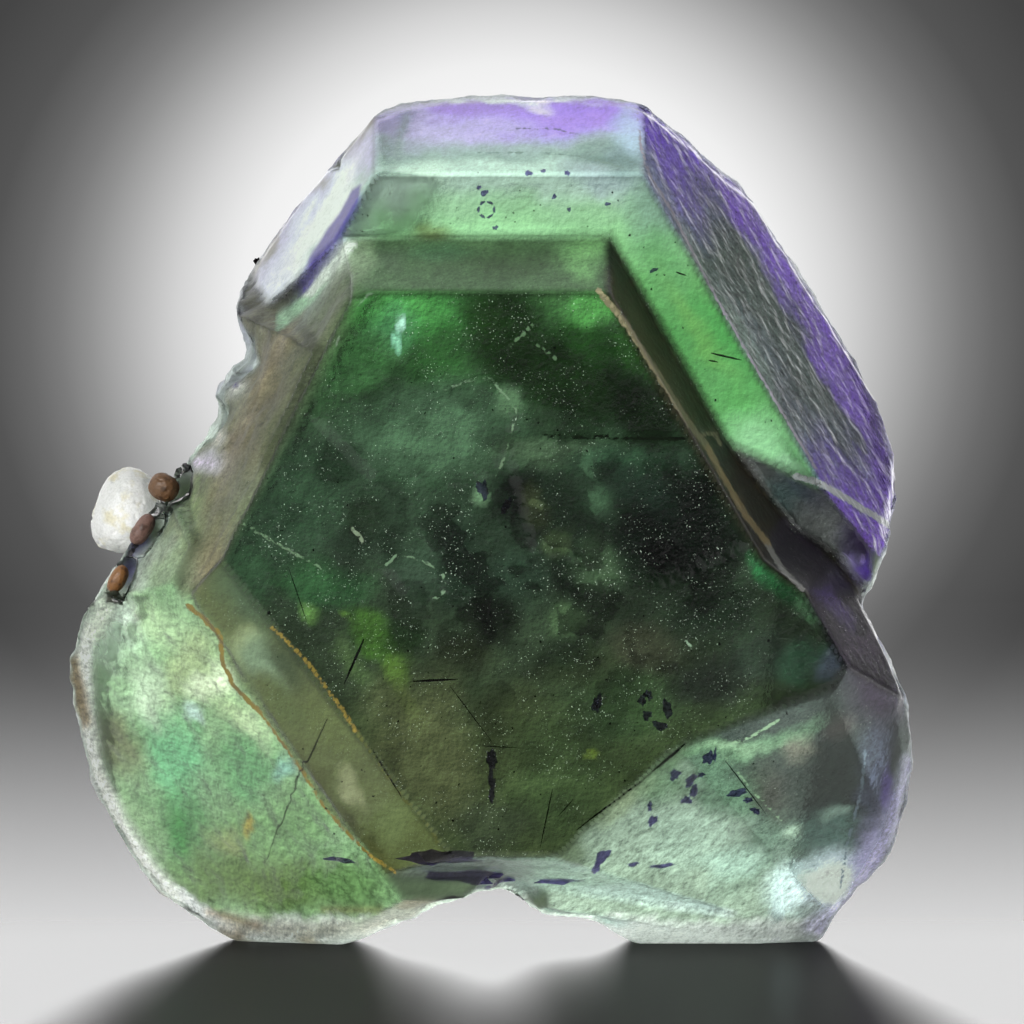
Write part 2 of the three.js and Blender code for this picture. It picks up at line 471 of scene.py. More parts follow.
class Surface:
    """What the carving and painting need to know of each vertex: its place, the CAD face under it,
    and how far it lies from the broken rim."""

    def __init__(self, mesh):
        self.mesh = mesh
        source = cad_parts[CRYSTAL].data
        corners = [v.co / MM for v in source.vertices]
        faces = [tuple(p.vertices) for p in source.polygons]
        self.points = coordinates(mesh) / MM
        self.x, self.y, self.z = self.points.T
        tree = BVHTree.FromPolygons(corners, faces)
        face_normals = np.array([p.normal for p in source.polygons])
        is_wall = (np.abs(face_normals[:, 1]) < WALL) & (face_normals[:, 2] > UNDERSIDE)
        rim_tree = BVHTree.FromPolygons(corners, [face for face, wall in zip(faces, is_wall) if wall])
        nearest = np.array([tree.find_nearest(p)[2] for p in self.points])
        self.face = face_normals[nearest]
        self.rim = np.array([rim_tree.find_nearest(p)[3] for p in self.points])
        lean = self.face[:, 1]
        self.front = self.soften(lean < FRONT_FACETS)
        self.big_face = self.soften((lean < FACES_FRONT) & (self.y < FRONT_Y + BIG_FACE_DEPTH), 1)
        self.upper_face = self.soften((lean < FACES_FRONT) & (self.y >= FRONT_Y + UPPER_FACE_DEPTH), 1)
        self.wall = self.soften(np.abs(lean) < WALL)
        self.back = np.clip(1 - self.front - self.wall, 0, 1)
        mean = smooth_vertices(mesh, self.face, 2)
        self.edge = np.clip((1 - np.linalg.norm(mean, axis=1)) / 0.1, 0, 1)
        # The right bevel and the dark strip have the same slope. The strip lies nearer the axis.
        self.is_outer = self.towards(30) > np.where(self.towards(120) > -4, 15.2, 17.2)

    def is_facet(self, direction, slope, where):
        return (self.face @ facing(direction, slope) > SAME_FACET) & where

    def leaning(self, direction, slope, where=True):
        """The facet that leans towards `direction`."""
        return self.soften(self.is_facet(direction, slope, where), 1)

    def soften(self, mask, rounds=2):
        return smooth_vertices(self.mesh, mask.astype(float), rounds)

    def towards(self, direction):
        return towards(direction, self.x, self.z)

    def blended(self, values, corners, width, rounds):
        """The values, averaged with their neighbours near a line on the front."""
        near = smooth(width, 0.4 * width, distance_to_line(self.x, self.z, corners)) * self.front
        return values + near[:, None] * (smooth_vertices(self.mesh, values, rounds) - values)

    def matte(self):
        """The left shoulder's facets, which are all matte."""
        facets = [self.leaning(156, ETCHED), self.leaning(154, OCTAHEDRON), self.leaning(95, 72)]
        return np.maximum.reduce(facets)

    def drawn_out(self, direction, ratio):
        """The places squeezed along `direction`, so that noise on them comes out in long lumps."""
        a = math.radians(direction)
        axis = np.array([math.cos(a), 0, math.sin(a)])
        along = self.points @ axis
        return self.points - np.outer(along * (1 - 1 / ratio), axis)

    def relief(self, direction, ratio, size, seed, octaves):
        return fractal(self.drawn_out(direction, ratio), size, seed, octaves)


# Edges that wear has rounded away: corners, how wide the rounding is, and rounds of smoothing.
ROUNDED_EDGES = [
    ([(-7.6, 36.4), (-9.4, 33.2), (-12.4, 27.4), (-15.6, 21.6)], 1.5, 45),
    ([(-16.5, 20.5), (-14.6, 16.6), (-12.9, 13.6)], 0.9, 14),
    ([(-15.5, 29.0), (-14.8, 32.0)], 1.1, 10),
]
PLATE_HEIGHT = 0.12  # of the highest plate
# Thin plates that stand up from the big face: outline and height.
PLATES = [
    ([(-8.5, 33.0), (-2.6, 30.2), (-1.1, 30.8), (0.1, 30.8), (1.5, 29.1), (1.2, 28.1), (0.8, 26.6),
      (-1.2, 25.0), (-6.4, 25.6), (-9.4, 28.6)], PLATE_HEIGHT),
    ([(-5.7, 20.7), (-5.0, 21.4), (-3.6, 21.0), (-2.5, 20.3), (-2.4, 19.3), (-3.1, 18.9),
      (-4.6, 19.2)], 0.1),
    ([(0.8, 27.7), (6.0, 27.8), (11.2, 27.6), (14.4, 22.0), (9.0, 19.8), (2.4, 21.6)], 0.1),
]


# Relief: the direction its lumps are drawn out in and how far, their size, seed, and octaves.
RELIEF = {
    "scales": (120, 1.4, 0.65, 31, 2),
    "ripples": (40, 1.6, 0.9, 41, 3),
    "crumbs": (0, 1, 0.8, 51, 3),
    "hollows": (62, 2, 1.4, 56, 4),
    "fractures": (0, 1, 2.2, 61, 4),
    "splinters": (0, 1, 0.9, 66, 2),
    "steps": (0, 1.5, 5, 71, 4),
    "swell": (0, 1, 2.5, 81, 2),
    "lumps": (0, 1, 1.5, 86, 3),
    "waves": (0, 1, 1.6, 91, 3),
}
WEAR_ROUNDS = 4  # how often the places along every edge are averaged with their neighbours
STEPS = 3  # steps of the back in a millimetre of relief


def carve(mesh):
    """Gives each face its own relief: scales, ripples, frost, broken rim, etched back."""
    s = Surface(mesh)
    points = s.points
    for corners, width, rounds in ROUNDED_EDGES:
        points = s.blended(points, corners, width, rounds)
    worn = np.clip(2 * s.edge, 0, 1)[:, None]
    points = points + worn * (smooth_vertices(mesh, points, WEAR_ROUNDS) - points)
    right_bevel = s.leaning(30, OCTAHEDRON, s.is_outer)
    cube_left = s.leaning(216, CUBE)
    frost = s.leaning(312, BROKEN)
    underside = s.leaning(270, OCTAHEDRON)
    relief = {name: s.relief(*row) for name, row in RELIEF.items()}
    breaks = relief["fractures"] + 0.5 * np.abs(relief["splinters"])
    terraces = np.round(relief["steps"] * STEPS) / STEPS * 0.75 + relief["steps"] * 0.25
    near_rim = smooth(1.4, 0.1, s.rim)
    shoulder = smooth(2.6, 0.8, s.rim) * smooth(-11, -13.5, s.x) * smooth(22, 25, s.z) * smooth(35, 32, s.z)
    plates = np.full(len(points), PLATE_HEIGHT)
    for corners, height in PLATES:
        plates = plates - height * smooth(-0.06, 0.06, depth_inside(s.x, s.z, corners))
    # Each face's relief, times its depth in millimetres.
    inwards = (
        right_bevel * (0.045 * (relief["scales"] + 1) + 0.04 * (relief["crumbs"] + 1))
        + cube_left * 0.12 * (relief["ripples"] + 1)
        + s.matte() * 0.26 * (relief["hollows"] + 1)
        + frost * 0.07 * (relief["crumbs"] + 1)
        + underside * 0.15 * (breaks + 1)
        + s.back * (0.3 * (terraces + 1) + 0.1 * np.abs(relief["crumbs"]))
        + near_rim * 0.3 * (breaks + 1)
        + shoulder * 0.35 * (relief["lumps"] + 1)
        + s.soften(s.big_face, 8) * (plates + 0.012 * (relief["swell"] + 1))
        + s.upper_face * 0.03 * (relief["waves"] + 1)
    )
    feet = smooth(1.2, 0.2, s.z)
    moved = points - normals(mesh) * (inwards * (1 - feet))[:, None]
    low, high = (np.array(corner) / MM for corner in CAD_BOX)
    set_coordinates(mesh, np.clip(moved, low, high) * MM)


def remesh(piece, voxel):
    """Makes the piece's mesh even, with faces of about this size."""
    only_selected(piece)
    piece.data.remesh_voxel_size = voxel * MM
    bpy.ops.object.voxel_remesh()
    return piece.data


def shape_crystal(piece):
    mesh = remesh(piece, VOXEL)
    set_coordinates(mesh, smooth_vertices(mesh, coordinates(mesh), 1, keep=0.3))
    carve(mesh)
    # The back and the walls need fewer triangles than the front.
    fine = piece.vertex_groups.new(name="fine")
    fine.add([int(i) for i in np.nonzero(normals(mesh)[:, 1] < FINE_SLOPE)[0]], 1.0, "REPLACE")
    thin = piece.modifiers.new("thin", "DECIMATE")
    thin.ratio = MOST_TRIANGLES / (2 * len(mesh.polygons))
    thin.vertex_group = fine.name
    thin.invert_vertex_group = True
    bpy.ops.object.modifier_apply(modifier=thin.name)
    piece.vertex_groups.clear()
    return piece.data


# ---- The crystal's colours ----
# How bright the light behind each zone looks through clear, untinted fluorite.
GLOW = {
    "flat": 1.6,
    "top bevel": 0.68,
    "left bevel": 0.95,
    "right bevel": 0.95,
    "matte": 1.35,
    "left cube": 1.68,
    "olive": 1.7,
    "below": 1.45,
    "frost": 1.7,
    "grey right": 1.2,
    "chip": 0.95,
    "outer right": 0.9,
    "strip": 1.9,
    "rim": 0.95,
    "back": 1.0,
}
EDGE_GLOW = (0.3, 1.0)  # how much brighter the light is along the edges of pale and of dark faces
DARK_FACE, PALE_FACE = 0.03, 0.3  # the mean colours of a dark and of a pale face
THROUGH = np.array([0.97, 1, 0.99])  # tint that the light has from the body and the back

# Soft clouds of colour on each face, some of them painted glow, highlight or shade: x and z of the middle,
# two radii, turn in degrees, red, green, blue and strength.
FACE_CLOUDS = [
    (-3.6, 34.4, 4.0, 1.2, 0, 76, 144, 76, 0.85),  # bright green under the upper edge
    (-5.2, 33.4, 1.4, 1.3, 20, 86, 148, 100, 0.8),
    (-7.0, 31.8, 1.8, 1.5, 30, 62, 104, 62, 0.8),
    (-2.6, 32.0, 1.6, 1.7, 0, 44, 84, 42, 0.85),
    (0.9, 33.2, 1.9, 3.0, 0, 18, 36, 14, 0.95),  # painted dark shade in the middle, where little light from behind gets through
    (4.4, 31.0, 3.6, 3.0, 0, 16, 34, 12, 0.95),
    (-0.6, 34.3, 1.3, 1.2, 0, 24, 46, 18, 0.85),
    (5.5, 32.8, 1.8, 1.2, -30, 30, 62, 26, 0.8),
    (8.4, 29.4, 2.2, 1.9, -50, 12, 24, 10, 0.95),
    (5.9, 35.3, 1.0, 1.6, -50, 92, 160, 86, 0.9),
    (7.8, 32.4, 1.3, 0.9, -55, 34, 70, 26, 0.8),
    (3.6, 35.6, 1.6, 0.6, 0, 56, 84, 52, 0.7),
    (-6.3, 29.3, 1.9, 1.2, 10, 26, 44, 26, 0.8),
    (-9.4, 30.4, 1.1, 1.4, 30, 44, 68, 44, 0.8),
    (-3.6, 27.9, 4.2, 2.2, 10, 78, 106, 82, 0.9),  # murky plate
    (-1.2, 29.7, 1.0, 0.8, -20, 44, 62, 46, 0.7),
    (0.8, 29.6, 0.7, 0.9, -30, 96, 124, 96, 0.7),
    (3.2, 26.9, 2.6, 0.7, 0, 82, 104, 80, 0.85),
    (7.4, 26.4, 3.2, 0.8, 0, 56, 86, 64, 0.8),
    (3.0, 28.6, 1.3, 0.7, 0, 46, 64, 46, 0.7),
    (5.4, 25.0, 0.9, 1.3, 0, 76, 104, 80, 0.75),
    (1.4, 24.6, 1.1, 1.5, -30, 14, 22, 16, 0.9),
    (-0.4, 24.4, 0.5, 0.5, 0, 112, 142, 112, 0.9),
    (2.6, 24.2, 0.5, 1.2, 25, 88, 96, 66, 0.6),  # yellow-green glow
    (3.9, 22.1, 0.7, 0.9, 0, 92, 110, 76, 0.8),
    (-1.6, 20.5, 1.5, 2.5, 0, 28, 42, 32, 0.85),
    (1.4, 20.0, 1.9, 1.6, 0, 40, 58, 46, 0.7),
    (0.3, 17.8, 1.0, 1.4, 10, 12, 18, 12, 0.85),
    (4.3, 20.4, 0.8, 1.6, 20, 18, 28, 20, 0.8),
    (6.0, 20.8, 1.1, 1.3, 30, 78, 100, 74, 0.75),
    (3.9, 17.6, 0.8, 0.7, 0, 84, 108, 76, 0.8),
    (10.2, 22.8, 3.6, 3.9, -45, 6, 12, 8, 0.98),  # painted black shade on the right, where no light from behind gets through
    (8.2, 25.0, 2.2, 1.1, -20, 30, 44, 36, 0.7),
    (7.9, 18.0, 2.4, 1.0, -10, 36, 46, 34, 0.8),
    (8.6, 16.2, 2.2, 1.4, 0, 64, 64, 50, 0.75),
    (4.8, 15.2, 2.4, 1.1, 0, 48, 58, 36, 0.7),
    (-4.1, 20.3, 1.7, 1.3, 0, 62, 80, 66, 0.8),
    (-11.2, 24.0, 3.0, 2.6, 60, 52, 76, 56, 0.8),
    (-8.2, 26.4, 1.5, 1.2, 0, 22, 38, 24, 0.75),
    (-7.0, 23.4, 1.3, 1.0, 0, 24, 36, 22, 0.75),
    (-12.8, 20.6, 1.6, 1.6, 30, 56, 84, 60, 0.75),
    (-9.0, 19.6, 2.2, 1.2, -20, 54, 92, 58, 0.85),  # green glow above the olive face
    # painted yellow-green highlights on the green glow
    (-9.7, 18.2, 0.4, 0.6, 20, 110, 150, 80, 0.6),
    (-8.2, 17.7, 0.3, 0.25, 0, 110, 150, 64, 0.6),
    (-6.3, 16.9, 1.6, 0.9, -35, 70, 108, 40, 0.7),
    (-5.0, 15.0, 0.7, 1.2, 10, 96, 132, 48, 0.7),
    (-4.6, 17.2, 1.0, 1.0, 0, 20, 38, 16, 0.8),
    # a painted yellow-green highlight
    (-4.4, 13.2, 0.6, 1.2, 25, 108, 128, 58, 0.7),
    (3.8, 16.0, 1.5, 1.0, 0, 28, 38, 26, 0.85),
    (-3.6, 10.6, 3.0, 4.2, 25, 86, 90, 62, 0.9),  # olive-brown floor of the face
    (-7.4, 15.4, 1.4, 0.6, -50, 76, 96, 60, 0.7),
    (-1.6, 15.6, 1.7, 0.9, 0, 46, 52, 34, 0.7),
    (1.4, 11.8, 2.4, 2.4, 0, 58, 66, 42, 0.75),
    (4.0, 9.4, 2.4, 3.0, 0, 64, 80, 50, 0.8),
    (5.5, 10.4, 0.3, 0.4, 0, 130, 150, 60, 0.8),
    (0.2, 6.8, 2.2, 1.6, 0, 60, 68, 52, 0.7),
    (7.8, 13.2, 2.8, 1.6, 10, 54, 74, 46, 0.8),
    (12.0, 14.6, 2.2, 1.0, 20, 50, 58, 50, 0.8),
    (12.2, 18.2, 2.4, 1.6, 20, 28, 40, 30, 0.8),
    (15.2, 20.4, 0.7, 1.8, 35, 52, 118, 72, 0.9),  # green glow at the strip's foot
    (17.3, 18.5, 0.9, 0.7, -30, 110, 156, 116, 0.85),
    (16.6, 15.6, 1.3, 1.0, 20, 70, 110, 88, 0.7),
    (14.6, 16.2, 1.6, 1.2, 20, 50, 62, 54, 0.7),
    (18.4, 15.6, 0.9, 0.7, 45, 102, 108, 134, 0.75),
    (19.2, 17.2, 0.8, 0.8, 0, 92, 84, 104, 0.8),
    (-4.9, 33.7, 0.3, 0.45, 10, 205, 255, 240, 1.0),  # a flash of light
    (-4.9, 32.7, 0.2, 0.6, 10, 170, 240, 210, 0.9),
]
UPPER_CLOUDS = [
    (5.0, 45.2, 3.6, 1.1, 0, 150, 114, 224, 0.75),
    (-1.2, 45.8, 3.2, 0.5, 0, 140, 112, 190, 0.7),
    (-3.4, 44.4, 2.4, 0.9, 0, 176, 166, 206, 0.6),
    (2.9, 46.0, 0.6, 0.3, -30, 216, 208, 236, 0.7),
    (7.5, 43.8, 0.9, 2.0, 0, 168, 186, 216, 0.75),
    (9.0, 40.0, 2.2, 1.6, -50, 122, 148, 140, 0.75),
    (6.2, 42.4, 2.0, 0.9, 0, 84, 108, 104, 0.9),
    (5.8, 41.9, 1.6, 0.7, -15, 178, 192, 204, 0.6),
    (-5.0, 41.2, 2.4, 1.1, 20, 198, 220, 208, 0.7),
    (-2.4, 40.4, 1.6, 0.9, 0, 168, 208, 172, 0.6),
    (0.5, 38.9, 3.6, 0.6, 0, 170, 222, 172, 0.7),
    (-7.6, 38.2, 0.9, 1.6, -30, 196, 226, 206, 0.8),
    (9.2, 37.4, 1.8, 1.0, -50, 102, 158, 104, 0.7),
    (11.2, 33.6, 3.2, 0.5, -56, 128, 178, 96, 0.35),  # yellow-green beside the strip
    (12.9, 33.0, 2.6, 0.7, -56, 84, 160, 88, 0.7),
    (13.8, 29.0, 2.2, 1.0, -55, 98, 170, 98, 0.7),
    (14.6, 27.2, 1.6, 1.5, -50, 160, 214, 166, 0.85),
    (15.6, 26.0, 1.3, 0.45, -8, 176, 226, 184, 0.9),
    (-2.9, 38.8, 0.95, 0.4, 0, 112, 122, 70, 0.95),  # olive spot
]
BEVEL_CLOUDS = [
    (-6.6, 43.4, 1.5, 1.0, 55, 196, 182, 230, 0.85),
    (-9.2, 39.4, 3.6, 0.65, 58, 255, 255, 255, 1.0),
    (-11.9, 36.2, 1.0, 2.0, -32, 228, 226, 250, 0.8),
    (-12.8, 33.6, 0.7, 1.5, 0, 196, 186, 226, 0.7),
    (-11.4, 34.2, 0.5, 1.2, -20, 120, 112, 92, 0.9),
    (-12.8, 37.6, 0.8, 0.5, 55, 152, 146, 142, 0.85),  # grey-brown lumps along the edge
    (-11.9, 38.7, 0.6, 0.35, 55, 160, 150, 142, 0.85),
    (-10.9, 40.6, 0.6, 0.4, 55, 154, 148, 146, 0.85),
    (-9.7, 41.8, 0.6, 0.4, 55, 162, 156, 156, 0.85),
    (-6.6, 44.9, 1.9, 0.55, 52, 132, 122, 118, 0.9),
    (-6.3, 45.2, 0.7, 0.25, 50, 104, 88, 74, 0.9),
    (-13.3, 33.9, 0.5, 0.7, 0, 120, 108, 116, 0.8),
]
FRONT_BEVEL_CLOUDS = [
    (1.2, 37.4, 2.9, 0.8, 0, 52, 72, 46, 0.85),
    (-2.6, 37.9, 1.8, 0.5, 0, 66, 98, 70, 0.8),
    (-5.4, 37.4, 1.0, 0.9, 0, 74, 92, 72, 0.8),
    (-7.2, 37.4, 0.8, 1.2, 0, 124, 142, 116, 0.9),
    (4.9, 37.4, 1.0, 1.2, 0, 104, 146, 96, 0.85),
]
MATTE_CLOUDS = [
    (-12.4, 29.6, 1.9, 2.6, 60, 112, 118, 98, 0.9),
    (-9.6, 34.0, 1.3, 2.2, -30, 122, 134, 112, 0.8),
    (-13.9, 30.8, 0.5, 1.2, -30, 140, 132, 120, 0.8),
    (-10.4, 31.8, 0.9, 1.8, -30, 110, 102, 84, 0.8),
    (-11.5, 29.6, 0.2, 0.22, 60, 160, 96, 48, 0.9),
    (-12.7, 26.9, 0.26, 0.4, -20, 206, 170, 132, 0.9),
    (-15.2, 26.3, 0.9, 0.55, 20, 226, 218, 236, 0.9),
    (-14.2, 27.6, 0.7, 0.6, 60, 120, 108, 92, 0.7),
    (-13.4, 25.2, 1.8, 0.6, 60, 150, 144, 136, 0.7),
    (-15.0, 24.2, 1.2, 0.6, 60, 104, 108, 70, 0.8),
    (-16.6, 22.6, 2.0, 0.55, 58, 150, 168, 122, 0.85),
    (-15.0, 21.2, 1.8, 0.6, 62, 134, 116, 88, 0.85),
    (-17.4, 23.6, 1.2, 0.4, 58, 108, 106, 80, 0.8),
    (-18.4, 21.2, 1.6, 0.9, 58, 206, 216, 202, 0.85),
    (-19.4, 19.4, 1.2, 1.2, 60, 232, 242, 234, 0.9),
    (-17.2, 20.0, 1.0, 0.9, 60, 168, 190, 150, 0.7),
    (-16.3, 19.2, 0.8, 0.7, 60, 140, 150, 118, 0.7),
]
CUBE_CLOUDS = [
    (-20.8, 17.4, 1.6, 2.0, 0, 212, 236, 214, 0.9),
    (-18.0, 17.6, 1.8, 1.3, -20, 186, 210, 170, 0.8),
    (-16.4, 15.4, 1.1, 2.2, -35, 178, 192, 148, 0.8),
    (-15.1, 14.6, 0.7, 1.3, -40, 236, 246, 216, 0.95),  # bright wedge along the stain
    (-13.7, 12.6, 1.7, 0.7, -48, 204, 226, 178, 0.8),
    (-19.6, 13.4, 1.6, 1.6, -40, 150, 178, 146, 0.7),
    (-20.2, 10.9, 1.2, 1.6, 20, 128, 132, 98, 0.85),
    (-17.2, 10.0, 1.5, 2.6, 20, 116, 184, 138, 0.85),
    (-16.2, 12.6, 0.5, 0.5, 0, 214, 240, 236, 0.9),
    (-13.4, 9.6, 1.7, 1.6, -30, 108, 160, 114, 0.85),
    (-18.6, 13.6, 0.9, 1.6, 20, 196, 214, 190, 0.8),
    (-15.6, 7.6, 1.0, 1.4, 10, 128, 160, 124, 0.7),
    (-12.8, 11.8, 1.0, 0.5, -45, 196, 214, 176, 0.8),
    (-11.3, 9.9, 0.6, 0.7, -40, 150, 196, 186, 0.85),
    (-17.2, 6.2, 1.8, 1.9, 20, 66, 126, 70, 0.9),
    (-19.3, 6.0, 0.9, 2.6, 25, 150, 178, 140, 0.7),
    (-13.4, 6.2, 1.8, 1.6, 0, 108, 140, 96, 0.8),
    (-10.6, 6.6, 1.4, 2.2, -40, 126, 164, 112, 0.8),
    (-13.1, 6.6, 0.3, 0.7, 0, 164, 140, 62, 0.8),
    (-14.4, 5.4, 0.9, 0.9, 0, 150, 150, 104, 0.6),
    (-12.0, 3.4, 5.4, 1.5, 0, 92, 114, 58, 0.9),
    (-7.6, 3.6, 2.2, 0.9, 0, 112, 150, 96, 0.8),
]
OLIVE_CLOUDS = [
    (-13.4, 19.2, 2.4, 1.3, -50, 74, 92, 70, 0.9),
    (-13.6, 16.6, 0.6, 0.8, -40, 150, 156, 116, 0.85),
    (-12.4, 15.6, 0.9, 1.6, 40, 128, 146, 124, 0.8),
    (-10.9, 15.4, 0.8, 1.4, 40, 58, 70, 50, 0.8),
    (-11.4, 13.2, 1.4, 0.8, -50, 88, 98, 62, 0.7),
    (-7.5, 8.6, 1.1, 0.4, -52, 150, 150, 118, 0.8),
    (-9.4, 9.6, 1.4, 0.35, -55, 72, 72, 44, 0.7),
    (-7.2, 6.4, 1.9, 0.35, -52, 60, 60, 38, 0.8),
    (-9.0, 12.0, 1.6, 0.9, -50, 100, 108, 66, 0.6),
    (-5.4, 6.8, 1.0, 1.2, -50, 112, 122, 84, 0.7),
]
LOWER_RIGHT_CLOUDS = [
    (3.6, 6.4, 2.6, 1.6, 40, 78, 88, 60, 0.9),  # frosted corner
    (8.0, 10.0, 3.0, 1.0, 38, 80, 98, 74, 0.85),
    (13.0, 7.6, 1.0, 2.6, -40, 92, 112, 96, 0.8),
    (9.4, 10.4, 2.4, 0.9, 38, 92, 112, 88, 0.85),
    (14.6, 5.4, 1.2, 2.6, -35, 104, 124, 112, 0.85),
    (8.2, 6.6, 2.2, 1.4, 20, 160, 176, 164, 0.9),
    (11.0, 6.4, 2.2, 1.6, 0, 170, 190, 178, 0.9),
    (7.4, 8.4, 1.9, 0.7, 38, 142, 154, 128, 0.8),
    (9.4, 9.2, 1.2, 1.0, 30, 110, 136, 112, 0.8),
    (12.4, 8.9, 1.7, 1.1, -40, 96, 122, 104, 0.85),
    (11.8, 10.7, 1.4, 0.4, 10, 96, 124, 98, 0.8),
    (15.0, 11.2, 2.8, 0.5, 22, 110, 140, 114, 0.85),
    (13.4, 10.9, 1.6, 0.3, 5, 140, 166, 140, 0.7),
    (16.6, 11.0, 0.8, 0.7, 20, 132, 128, 118, 0.95),  # beige patches
    (18.9, 12.0, 0.75, 0.6, 30, 104, 98, 98, 0.9),
    (17.8, 8.6, 2.6, 2.2, -20, 56, 64, 60, 0.9),
    (15.2, 8.4, 1.0, 1.6, 20, 64, 62, 58, 0.7),
    (16.2, 5.2, 1.8, 1.5, 10, 102, 120, 110, 0.8),
    (18.6, 6.0, 1.4, 1.4, 20, 104, 134, 128, 0.75),
    (18.9, 7.4, 0.65, 0.42, 0, 160, 184, 176, 0.9),
    (16.6, 6.1, 0.6, 0.4, 30, 160, 182, 166, 0.9),
    (17.0, 2.7, 0.35, 0.18, 60, 230, 250, 240, 0.9),
    (13.0, 4.6, 1.8, 0.8, 0, 160, 184, 174, 0.8),
    (17.4, 3.4, 2.2, 1.1, 25, 190, 210, 214, 0.85),
    (18.9, 3.2, 1.6, 1.8, -20, 222, 230, 250, 0.9),
    (21.0, 9.2, 0.9, 2.4, 0, 84, 88, 114, 0.85),
    (21.8, 8.0, 0.35, 1.8, 0, 112, 86, 176, 0.85),
    (20.9, 5.2, 0.8, 2.0, -20, 176, 166, 214, 0.85),
    (21.0, 14.4, 1.7, 2.7, 10, 52, 42, 60, 0.95),
    (20.2, 16.4, 1.0, 1.0, 0, 82, 64, 92, 0.8),
    (22.6, 14.8, 0.8, 2.0, -14, 98, 92, 112, 0.7),
]
CHIP_CLOUDS = [
    (16.4, 24.6, 1.6, 0.9, -10, 56, 68, 70, 0.9),
    (18.6, 23.2, 1.6, 1.3, -40, 88, 88, 90, 0.85),
    (20.4, 22.4, 1.2, 0.8, -30, 58, 46, 68, 0.85),
    (19.6, 20.6, 0.7, 1.0, -30, 160, 152, 184, 0.9),
    (21.1, 21.2, 0.6, 1.2, -25, 104, 70, 172, 0.9),
]
BELOW_CLOUDS = [
    (-8.0, 1.8, 6.0, 0.9, 4, 200, 204, 196, 0.85),
    (-12.6, 1.8, 1.4, 0.5, 0, 168, 150, 122, 0.8),
    (-4.0, 2.4, 1.6, 0.5, 0, 150, 138, 116, 0.8),
    (-0.6, 4.0, 2.6, 0.9, 0, 74, 80, 76, 0.8),
    (1.2, 3.2, 2.6, 0.5, 0, 120, 130, 134, 0.7),
    (5.0, 3.6, 3.2, 0.7, 0, 176, 200, 186, 0.8),
    (12.6, 4.2, 2.4, 0.5, -6, 118, 126, 140, 0.8),
    (9.0, 2.6, 4.0, 0.8, 0, 200, 220, 216, 0.8),
    (12.4, 1.2, 4.4, 0.7, 0, 238, 244, 250, 0.9),
    (16.8, 1.0, 1.6, 0.7, 20, 204, 200, 232, 0.8),
]

# Crisp patches: outline, colour, strength, how soft the outline is.
PATCHES = [
    # Purple sliver on the left bevel, its grey tail, the mint wedge and the white gleam beside it
    ([(-7.0, 41.5), (-7.1, 40.3), (-7.9, 38.6), (-8.7, 37.2), (-9.6, 35.9), (-10.2, 35.4), (-10.7, 35.3),
      (-10.5, 36.0), (-9.8, 37.5), (-9.0, 38.8), (-8.1, 40.3), (-7.5, 41.2)], (82, 66, 158), 0.95, 0.1),
    ([(-10.2, 36.0), (-10.1, 35.4), (-11.0, 34.6), (-11.4, 34.8)], (86, 92, 104), 0.9, 0.2),
    ([(-11.6, 34.8), (-11.6, 33.4), (-9.6, 35.1), (-8.7, 36.2), (-10.2, 35.4), (-11.3, 34.6)],
     (184, 224, 192), 0.95, 0.12),
    ([(-10.2, 35.4), (-7.9, 38.3), (-7.3, 38.3), (-7.9, 37.3), (-9.6, 35.4)], (246, 252, 246), 0.95, 0.12),
    # Third piece of the dark strip
    ([(15.2, 22.6), (16.0, 23.3), (17.4, 22.2), (19.0, 20.4), (20.4, 18.7), (20.5, 17.0), (19.8, 16.9),
      (19.1, 17.5), (17.7, 18.8), (16.4, 20.0), (15.4, 21.3)], (48, 40, 54), 0.95, 0.12),
    ([(17.4, 19.4), (18.4, 19.6), (19.9, 17.9), (19.7, 17.1), (18.8, 17.9)], (94, 70, 138), 0.7, 0.3),
    # Purple streak beside the grains
    ([(-20.1, 19.9), (-18.9, 22.2), (-18.5, 22.2), (-19.7, 19.7)], (96, 78, 160), 0.9, 0.1),
]

